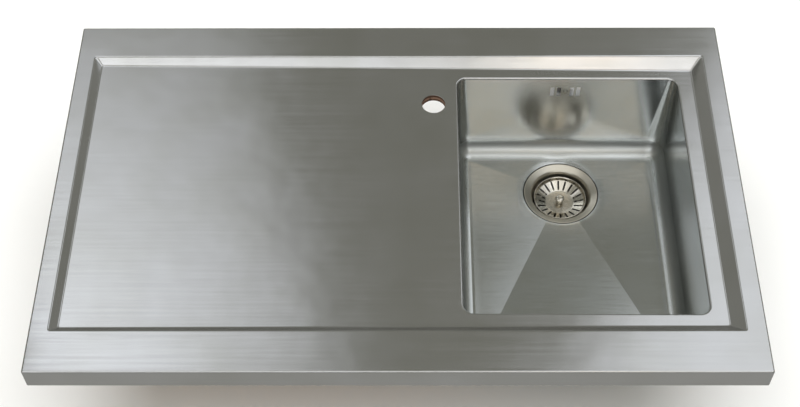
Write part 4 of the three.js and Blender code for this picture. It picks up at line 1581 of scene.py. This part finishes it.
@dataclass
class WasteStack:
    """The waste: cup, seals and body, with the lift-out basket, its knob, stem and stopper."""

    bowl: DeepBowl
    flange: float = 59.0
    flange_roll: float = 1.2
    dish: float = 5.0
    mouth: float = 47.0
    mouth_roll: float = 1.0
    throat_in: float = 0.8
    throat_drop: float = 3.0
    cup_depth: float = 45.0
    cup_floor_radius: float = 44.0
    cup_foot_rise: float = 7.0
    cup_foot_bend: float = 4.0
    cup_sheet: float = 1.0
    cup_facets: int = 128
    outlet_hole: float = 5.5
    outlet_circle: float = 24.0
    outlet_punch: float = 6.0
    outlet_facets: int = 32
    outlets: int = 8
    basket_rim: float = 42.2
    basket_curl: float = 1.1
    basket_drop: float = 11.5
    basket_wall: float = 6.4
    slope_radius: float = 39.6
    slope_drop: float = 7.2
    disc_radius: float = 22.6
    disc_dome: float = 1.0
    basket_sheet: float = 0.8
    slots: int = 20
    slot_width: float = 2.9
    slot_from_disc: float = 0.9
    slot_from_wall: float = 1.0
    slot_least: float = 0.12
    row_gap: float = 0.1
    column_share: float = 0.25
    knob_radius: float = 7.8
    knob_height: float = 12.0
    knob_facets: int = 64
    stem_radius: float = 2.9
    gap: float = 0.3

    def __post_init__(self) -> None:
        """Works out the heights of the stack."""
        self.centre = self.bowl.drain
        self.rim = self.bowl.rim
        self.cup_floor = self.rim - self.cup_depth
        self.basket_top = self.rim - self.basket_drop
        self.slope_top = self.basket_top - self.basket_wall
        self.disc = self.slope_top - self.slope_drop

    def complete_turned(self, piece: Any, finish: Finish, node: str, body: Body) -> None:
        """Completes a piece that is turned or spun round the waste's axis."""
        complete(piece, finish, node, body=body, grain=Grain.TURNED, centre=self.centre)

    def build_cup(self) -> None:
        """Spins the dished flange and the cup, and punches its outlets."""
        t = self.cup_sheet
        rim, mouth_height, floor = self.rim, self.rim - self.dish, self.cup_floor
        foot, bend = self.cup_floor_radius, self.cup_foot_bend
        roll, throat = self.mouth + self.mouth_roll, self.mouth - self.throat_in
        # Radius, height and rounding: down the upper face to an outlet, then back below it.
        corners = [
            (self.flange, rim - t, 0.3),
            (self.flange, rim - t * 0.1, 0.4),
            (self.flange - self.flange_roll, rim - t * 0.2, 0.5),
            (roll, mouth_height + t * 0.3, 1.6),
            (throat, mouth_height - self.throat_drop, 1.5),
            (foot, floor + self.cup_foot_rise, 2.0),
            (foot - bend, floor, 3.5),
            (self.outlet_hole, floor, 0.2),
            (self.outlet_hole, floor - t, 0.2),
            (foot - bend + t * 0.5, floor - t, 3.5),
            (foot + t, floor + self.cup_foot_rise - t * 0.4, 2.0),
            (throat + t, mouth_height - self.throat_drop - t * 0.4, 1.5),
            (roll + t * 0.7, mouth_height - t * 0.9, 1.6),
        ]
        profile = eased(corners, True)
        piece = turned("waste_flange", profile, self.centre, self.cup_facets, True)
        punch = {
            "Holes": self.outlets,
            "Facets": self.outlet_facets,
            "Circle": self.outlet_circle * MM,
            "Radius": self.outlet_hole * MM,
            "Depth": self.outlet_punch * MM,
            "Centre": Vector((*self.centre, floor)) * MM,
        }
        grow(piece, ring_punch, FLANGE_STEEL, punch)
        self.complete_turned(piece, FLANGE_STEEL, "waste_cup", Body.SINK)

    def basket_profile(self) -> list[Point]:
        """Lays the upper face of the basket by radius and height, from the stem to the rim.

        Returns:
            The profile's points.
        """
        curl, dome = self.basket_curl, self.disc_dome
        rim, top = self.basket_rim, self.basket_top
        # Radius, height and rounding, from the stem outwards.
        corners = [
            (self.stem_radius + self.gap, self.disc + dome, 0.0),
            (self.disc_radius - dome * 4, self.disc + dome * 0.5, 1.5),
            (self.disc_radius - dome * 0.4, self.disc + dome * 0.2, 0.8),
            (self.slope_radius - 0.2, self.slope_top, 1.0),
            (rim - curl * 2, top - 1.2, 0.8),
            (rim - curl, top, 0.6),
            (rim - 0.1, top - 0.3, 0.3),
            (rim, top - 1.0, 0.0),
        ]
        return eased(corners, False)

    def basket_rows(self) -> list[Place]:
        """Lays the rows of the basket's sector, which are closer together at a slot's ends.

        Returns:
            Radius, height and half the slot's width of each row.
        """
        profile = self.basket_profile()
        half, gap = self.slot_width / 2, self.row_gap
        inner = self.disc_radius + self.slot_from_disc
        outer = self.slope_radius - self.slot_from_wall
        ends = [half * (1 - math.cos(a)) for a in quarter(4)]
        radii = [inner + e for e in ends]
        radii += [inner + half + (outer - inner - 2 * half) * k / 4 for k in range(1, 4)]
        radii += [outer - e for e in reversed(ends)]
        rows = [(r, z, 0.0) for r, z in profile if not inner - gap < r < outer + gap]
        for radius in radii:
            end = min(radius - inner, outer - radius)
            open_half = half if end >= half else math.sqrt(max(0, half**2 - (half - end) ** 2))
            height = self.height_at(profile, radius)
            rows.append((radius, height, max(open_half, self.slot_least)))
        # The curled rim turns back on itself, so its rows keep their own order.
        slope = [row for row in rows if row[0] <= outer + gap / 2]
        curled = [row for row in rows if row[0] > outer + gap / 2]
        return sorted(slope) + curled

    @staticmethod
    def height_at(profile: Sequence[Point], radius: float) -> float:
        """Reads a profile's height at a radius.

        Args:
            profile: Radii and heights.
            radius: The radius.

        Returns:
            The height, or that of the profile's end where the radius lies outside it.
        """
        for (r0, z0), (r1, z1) in zip(profile, profile[1:]):
            if r0 <= radius <= r1 and r1 > r0:
                return z0 + (z1 - z0) * (radius - r0) / (r1 - r0)
        return profile[-1][1]

    def build_basket(self) -> None:
        """Presses one sector with its slot, repeats it round and gives the sheet its thickness."""
        rows = self.basket_rows()
        half_turn = math.pi / self.slots
        points: list[Place] = []
        for radius, height, open_half in rows:
            plain_edge = half_turn * self.column_share
            edge = math.asin(open_half / radius) if open_half else plain_edge
            mid = (half_turn + edge) / 2
            for a in (-half_turn, -mid, -edge, 0.0, edge, mid, half_turn):
                points.append((radius * math.cos(a), radius * math.sin(a), height))
        across = len(points) // len(rows)
        faces = []
        for k in range(len(rows) - 1):
            slotted = rows[k][2] and rows[k + 1][2]
            for i in range(across - 1):
                # The two middle strips are the slot.
                if slotted and i in (2, 3):
                    continue
                a, b = k * across + i, (k + 1) * across + i
                faces.append((a, b, b + 1, a + 1))
        piece = new_object("slotted_basket", points, faces)
        round_axis = {"Count": self.slots, "Centre": Vector((*self.centre, 0)) * MM}
        grow(piece, polar_repeat, POLISHED_STEEL, round_axis)
        with editing(piece.data) as work:
            bmesh.ops.recalc_face_normals(work, faces=work.faces)
            if sum(face.normal.z for face in work.faces) < 0:
                bmesh.ops.reverse_faces(work, faces=work.faces)
        sheet = piece.modifiers.new("sheet", "SOLIDIFY")
        sheet.thickness = self.basket_sheet * MM
        sheet.offset = -1.0
        sheet.use_even_offset = True
        settle(piece)
        self.complete_turned(piece, POLISHED_STEEL, "strainer_basket", Body.STRAINER)

    def build_knob(self) -> None:
        """Turns the pull knob, with the blind bore that the stem stands in."""
        r, foot = self.knob_radius, self.disc + self.disc_dome + self.gap
        top = foot + self.knob_height
        bore, bore_top = self.stem_radius + self.gap, foot + self.knob_height * 0.55 + self.gap
        # Radius, height and rounding: down the outside from the crown, then up the bore.
        corners = [
            (0.0, top, 0.0),
            (r * 0.55, top - 0.2, 2.0),
            (r * 0.97, top - 2.0, 1.5),
            (r, top - 3.8, 1.0),
            (r * 0.8, top - 5.6, 1.2),
            (r * 0.56, top - 7.2, 1.5),
            (r * 0.56, foot + 2.4, 1.4),
            (r * 0.74, foot, 0.4),
            (bore, foot, 0.2),
            (bore, bore_top, 0.2),
            (0.0, bore_top, 0.0),
        ]
        profile = eased(corners, False)
        piece = turned("turned_knob", profile, self.centre, self.knob_facets, False)
        self.complete_turned(piece, POLISHED_STEEL, "basket_knob", Body.STRAINER)

    def build_plug(self) -> None:
        """Finishes the stem and the rubber stopper with its ring."""
        stem = refined("plug_stem", "basket_stem")
        self.complete_turned(stem, SCREW_STEEL, "basket_stem", Body.PLUG)
        for name, node in (("stopper", "basket_stopper"), ("stem_seal", "stem_ring")):
            complete(refined(name, node), BLACK_RUBBER, node, body=Body.PLUG)

    def build_under(self) -> None:
        """Finishes the seals, the moulded body and the clamp screw."""
        for name, node in (("upper_seal", "waste_upper_seal"), ("lower_seal", "waste_lower_seal")):
            complete(refined(name, node), BLACK_RUBBER, node)
        for name, node in (("moulded_body", "waste_body"), ("tail_outlet", "waste_tail")):
            complete(refined(name, node), DARK_PLASTIC, node)
        screw = refined("clamp_screw", "waste_clamp_screw")
        self.complete_turned(screw, SCREW_STEEL, "waste_clamp_screw", Body.SINK)

    def build(self) -> None:
        """Builds the whole stack."""
        self.build_cup()
        self.build_basket()
        self.build_knob()
        self.build_plug()
        self.build_under()


# ---------------------------------------------------------------- overflow and timber


@dataclass
class Overflow:
    """The overflow: gasket, housing and screw on the wall, then a pipe with two union nuts."""

    head_radius: float = 4.2
    head_height: float = 2.2
    shank_radius: float = 2.3
    facets: int = 48
    slot_length: float = 20.0
    slot_width: float = 1.1
    slot_depth: float = 1.0

    def build_screw(self) -> None:
        """Turns the screw, lays it along Y and cuts its driving slot."""
        low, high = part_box("overflow_screw")
        length = (high.y - low.y) / MM
        face = Vector(((low.x + high.x) / 2, low.y, (low.z + high.z) / 2))
        head, shank = self.head_radius, self.shank_radius
        corners = [
            (0.0, 0.0, 0.0),
            (head * 0.6, 0.05, 1.2),
            (head, self.head_height / 2, 0.8),
            (head, self.head_height, 0.2),
            (shank, self.head_height, 0.2),
            (shank, length - 1, 0.3),
            (0.0, length, 0.0),
        ]
        piece = turned("overflow_fixing", eased(corners, False), (0, 0), self.facets, False)
        lying = Matrix.Rotation(-math.pi / 2, 4, "X")
        piece.data.transform(Matrix.Translation(face) @ lying)
        cutter = Vector((self.slot_length, self.slot_depth * 2, self.slot_width)) * MM
        grow(piece, driving_slot, SCREW_STEEL, {"Size": cutter, "Centre": face})
        complete(piece, SCREW_STEEL, "overflow_screw")

    def build(self) -> None:
        """Builds the screw and finishes the moulded pieces."""
        self.build_screw()
        plastic = {
            "overflow_box": "overflow_housing",
            "swept_pipe": "overflow_pipe",
            "union_nut_upper": "overflow_nut_upper",
            "union_nut_lower": "overflow_nut_lower",
        }
        rubber = {
            "box_gasket": "overflow_gasket",
            "pipe_seal_upper": "overflow_seal_upper",
            "pipe_seal_lower": "overflow_seal_lower",
        }
        for finish, pieces in ((WHITE_PLASTIC, plastic), (BLACK_RUBBER, rubber)):
            for name, node in pieces.items():
                complete(refined(name, node), finish, node)


@dataclass
class Underside:
    """What lies below: core board, four battens, two bearers with their screws, and the pad."""

    eased_edge: float = 0.8
    eased_pad: float = 0.4
    head_radius: float = 4.0
    screw_radius: float = 2.0
    screw_length: float = 20.0
    screw_facets: int = 32
    screws: int = 4
    cross_arm: float = 4.2
    cross_slot: float = 0.9
    cross_sink: float = 3.0

    def build_screws(self) -> None:
        """Turns one countersunk screw, sinks its cross and sets four of them."""
        nodes = [f"bearer_screw_{i + 1}" for i in range(self.screws)]
        boxes = [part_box(node) for node in nodes]
        bottom = boxes[0][0].z
        low = bottom / MM
        heads = [
            Vector(((low.x + high.x) / 2, (low.y + high.y) / 2, bottom)) for low, high in boxes
        ]
        r, shank = self.head_radius, self.screw_radius
        corners = [
            (0.0, low, 0.0),
            (r - 0.2, low, 0.2),
            (r, low + 0.3, 0.2),
            (shank, low + r - shank + 0.2, 0.3),
            (shank, self.screw_length - 3, 0.5),
            (0.0, self.screw_length - 0.05, 0.0),
        ]
        profile = eased(corners, False)
        piece = turned("bearer_screws", profile, (0, 0), self.screw_facets, False)
        piece.data.transform(Matrix.Translation((0, 0, -bottom)))
        sizes = {
            "Arm": self.cross_arm * MM,
            "Slot": self.cross_slot * MM,
            "Sink": self.cross_sink * MM,
            "First": heads[0],
            "Columns": heads[1] - heads[0],
            "Rows": heads[2] - heads[0],
        }
        grow(piece, cross_recessed_screws, SCREW_STEEL, sizes)
        complete(piece, SCREW_STEEL, *nodes)

    def build(self) -> None:
        """Finishes the board, the battens and the bearers, then the screws and the pad."""
        complete(refined("plywood_core", "core_board"), PLYWOOD, "core_board")
        lengthways = ("batten_front", "batten_back")
        crossways = ("batten_left", "batten_right", "bearer_left", "bearer_centre")
        for node in (*lengthways, *crossways):
            finish = BATTEN_ALONG_X if node in lengthways else BATTEN_ALONG_Y
            complete(refined(f"{node}_sawn", node, self.eased_edge), finish, node)
        self.build_screws()
        pad = refined("damping_sheet", "bowl_damping_pad", self.eased_pad)
        complete(pad, DAMPING_PAD, "bowl_damping_pad")


# ---------------------------------------------------------------- the studio


@dataclass(frozen=True)
class SoftBox:
    """A soft rectangular light, whose cloth may glow more at one side than at another.

    Its place, its size and the point that it faces are in metres. A glow of 1 is white. The fall
    gives shares of the glow at the two ends of the box's width, then of its height. The spin
    turns it on its own axis, in degrees. Polished pieces mirror it, unless it says otherwise.
    """

    name: str
    place: Place
    size: Point
    aim: Place
    glow: float
    fall: tuple[float, float, float, float] = (1.0, 1.0, 1.0, 1.0)
    spin: float = 0.0
    tint: str = "#ffffff"
    mirrored: bool = True

    def hang(self) -> None:
        """Hangs the light up."""
        data = bpy.data.lights.new(self.name, "AREA")
        data.shape = "RECTANGLE"
        data.size, data.size_y = self.size
        data.energy = self.glow * data.size * data.size_y * math.pi
        data.color = linear(self.tint)[:3]
        data.use_nodes = True
        tree = data.node_tree
        cloth = add_node(tree, "ShaderNodeNewGeometry").outputs["Parametric"]
        across = add_node(tree, "ShaderNodeSeparateXYZ", {0: cloth}).outputs
        ends = zip(across, self.fall[::2], self.fall[1::2])
        width, height = (
            add_node(tree, "ShaderNodeMapRange", {"Value": way, "To Min": a, "To Max": b})
            for way, a, b in ends
        )
        both = add_node(tree, "ShaderNodeMath", {0: width, 1: height}, operation="MULTIPLY")
        feed(tree, tree.nodes["Emission"], {"Strength": both})
        light = linked(self.name, data)
        light.location = self.place
        light.rotation_mode = "QUATERNION"
        facing = (Vector(self.aim) - Vector(self.place)).to_track_quat("-Z", "Y")
        light.rotation_quaternion = facing @ Quaternion((0, 0, 1), math.radians(self.spin))
        light.visible_glossy = self.mirrored


# Two boxes over the back light the tray's left end and the right border, and two in front the
# front corners. The overhead one evens the flat steel, the small one warms the bowl's back wall,
# and the last fills the shadows.
SOFT_BOXES = (
    SoftBox(
        "left_box",
        (-0.94, 1.8, 2.5),
        (1.04, 2.05),
        aim=(-0.94, 1.8, 0),
        glow=1.04,
        fall=(1.2, 0.35, 1.45, 0.35),
        spin=15,
        tint="#f4f8ff",
    ),
    SoftBox(
        "right_box",
        (1.6, 1.05, 2.5),
        (1.8, 2.6),
        aim=(1.6, 1.05, 0),
        glow=0.9,
        spin=-25,
        tint="#f4f8ff",
    ),
    SoftBox(
        "front_left_box",
        (-1.0, -3.0, 2.26),
        (2.0, 1.19),
        aim=(-1.0, 0, 0),
        glow=2.05,
        fall=(1.5, 0.85, 1.3, 0.7),
        tint="#fafcff",
    ),
    SoftBox(
        "front_right_box",
        (1.0, -3.0, 2.26),
        (2.0, 1.19),
        aim=(1.0, 0, 0),
        glow=2.1,
        fall=(0.8, 1.2, 1.3, 0.7),
    ),
    SoftBox(
        "overhead_box",
        (0.0, -0.75, 2.9),
        (3.2, 1.7),
        aim=(0, -0.75, 0),
        glow=1.7,
        fall=(1, 1, 0.2, 0.75),
    ),
    SoftBox(
        "bowl_box", (0.66, -1.95, 2.3), (0.5, 0.25), (0.26, 0.2, -0.15), glow=2.0, tint="#ffe2bc"
    ),
    SoftBox("fill", (0.0, 0.0, 4.0), (5.0, 5.0), (0, 0, 0), glow=2.6, mirrored=False),
)


@dataclass
class Studio:
    """The pale floor, the soft lights and the camera at the photograph's angle.

    The camera's turns are in degrees, and its clipping distances are in metres. The room's tones
    go from below to above, between two shares of the way up.
    """

    camera_place: Place = (15.08, -1216.9, 1672.5)
    yaw: float = 0.5946
    pitch: float = 54.11
    roll: float = -0.53
    lens_mm: float = 63.08
    sensor_mm: float = 36.0
    clip: Point = (0.05, 100.0)
    floor_colour: str = "#f4f4f3"
    floor_roughness: float = 0.9
    floor_reach: float = 14000.0
    floor_gap: float = 0.5
    room_ends: Point = (-0.8, 0.7)
    room: tuple[tuple[float, str], ...] = ((0.0, "#a9a9a4"), (0.4, "#90908a"), (1.0, "#86867d"))

    def set_camera(self) -> None:
        """Sets the camera up."""
        data = bpy.data.cameras.new("camera")
        data.lens = self.lens_mm
        data.sensor_width = self.sensor_mm
        data.clip_start, data.clip_end = self.clip
        camera = linked("camera", data)
        camera.matrix_world = (
            Matrix.Translation(Vector(self.camera_place) * MM)
            @ Matrix.Rotation(math.radians(self.yaw), 4, "Z")
            @ Matrix.Rotation(math.radians(90 - self.pitch), 4, "X")
            @ Matrix.Rotation(math.radians(self.roll), 4, "Z")
        )
        bpy.context.scene.camera = camera

    def lay_floor(self) -> None:
        """Lays the floor under the lowest piece. Polished pieces don't mirror it."""
        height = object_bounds()[0].z / MM - self.floor_gap
        reach = self.floor_reach / 2
        plan = [(-reach, -reach), (reach, -reach), (reach, reach), (-reach, reach)]
        floor = new_object("floor", [(x, y, height) for x, y in plan], [(0, 1, 2, 3)])
        material = bpy.data.materials.new("matt_floor")
        material.use_nodes = True
        feed(
            material.node_tree,
            material.node_tree.nodes["Principled BSDF"],
            {"Base Color": linear(self.floor_colour), "Roughness": self.floor_roughness},
        )
        floor.data.materials.append(material)
        floor.visible_glossy = False
        floor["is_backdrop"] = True

    def dim_room(self) -> None:
        """Gives the room a dim grey above and a paler one below."""
        world = bpy.data.worlds.new("room")
        bpy.context.scene.world = world
        world.use_nodes = True
        tree = world.node_tree
        toward = add_node(tree, "ShaderNodeTexCoord").outputs["Generated"]
        height = add_node(tree, "ShaderNodeSeparateXYZ", {0: toward}).outputs["Z"]
        low, high = self.room_ends
        share = add_node(
            tree, "ShaderNodeMapRange", {"Value": height, "From Min": low, "From Max": high}
        )
        ramp = add_node(tree, "ShaderNodeValToRGB", {"Fac": share})
        colour_ramp(ramp, self.room)
        feed(tree, tree.nodes["Background"], {"Color": ramp, "Strength": 1.0})

    def build(self) -> None:
        """Builds the studio."""
        self.set_camera()
        self.lay_floor()
        self.dim_room()
        for box in SOFT_BOXES:
            box.hang()


def main() -> None:
    """Builds the sink from its classes, in order, and then the studio."""
    logging.basicConfig(level=logging.INFO, format="%(name)s: %(message)s")
    bpy.context.scene.view_settings.view_transform = "Standard"
    top = PressedTop()
    bowl = DeepBowl(top)
    for assembly in (top, bowl, WasteStack(bowl), Overflow(), Underside(), Studio()):
        assembly.build()


if __name__ == "__main__":
    main()
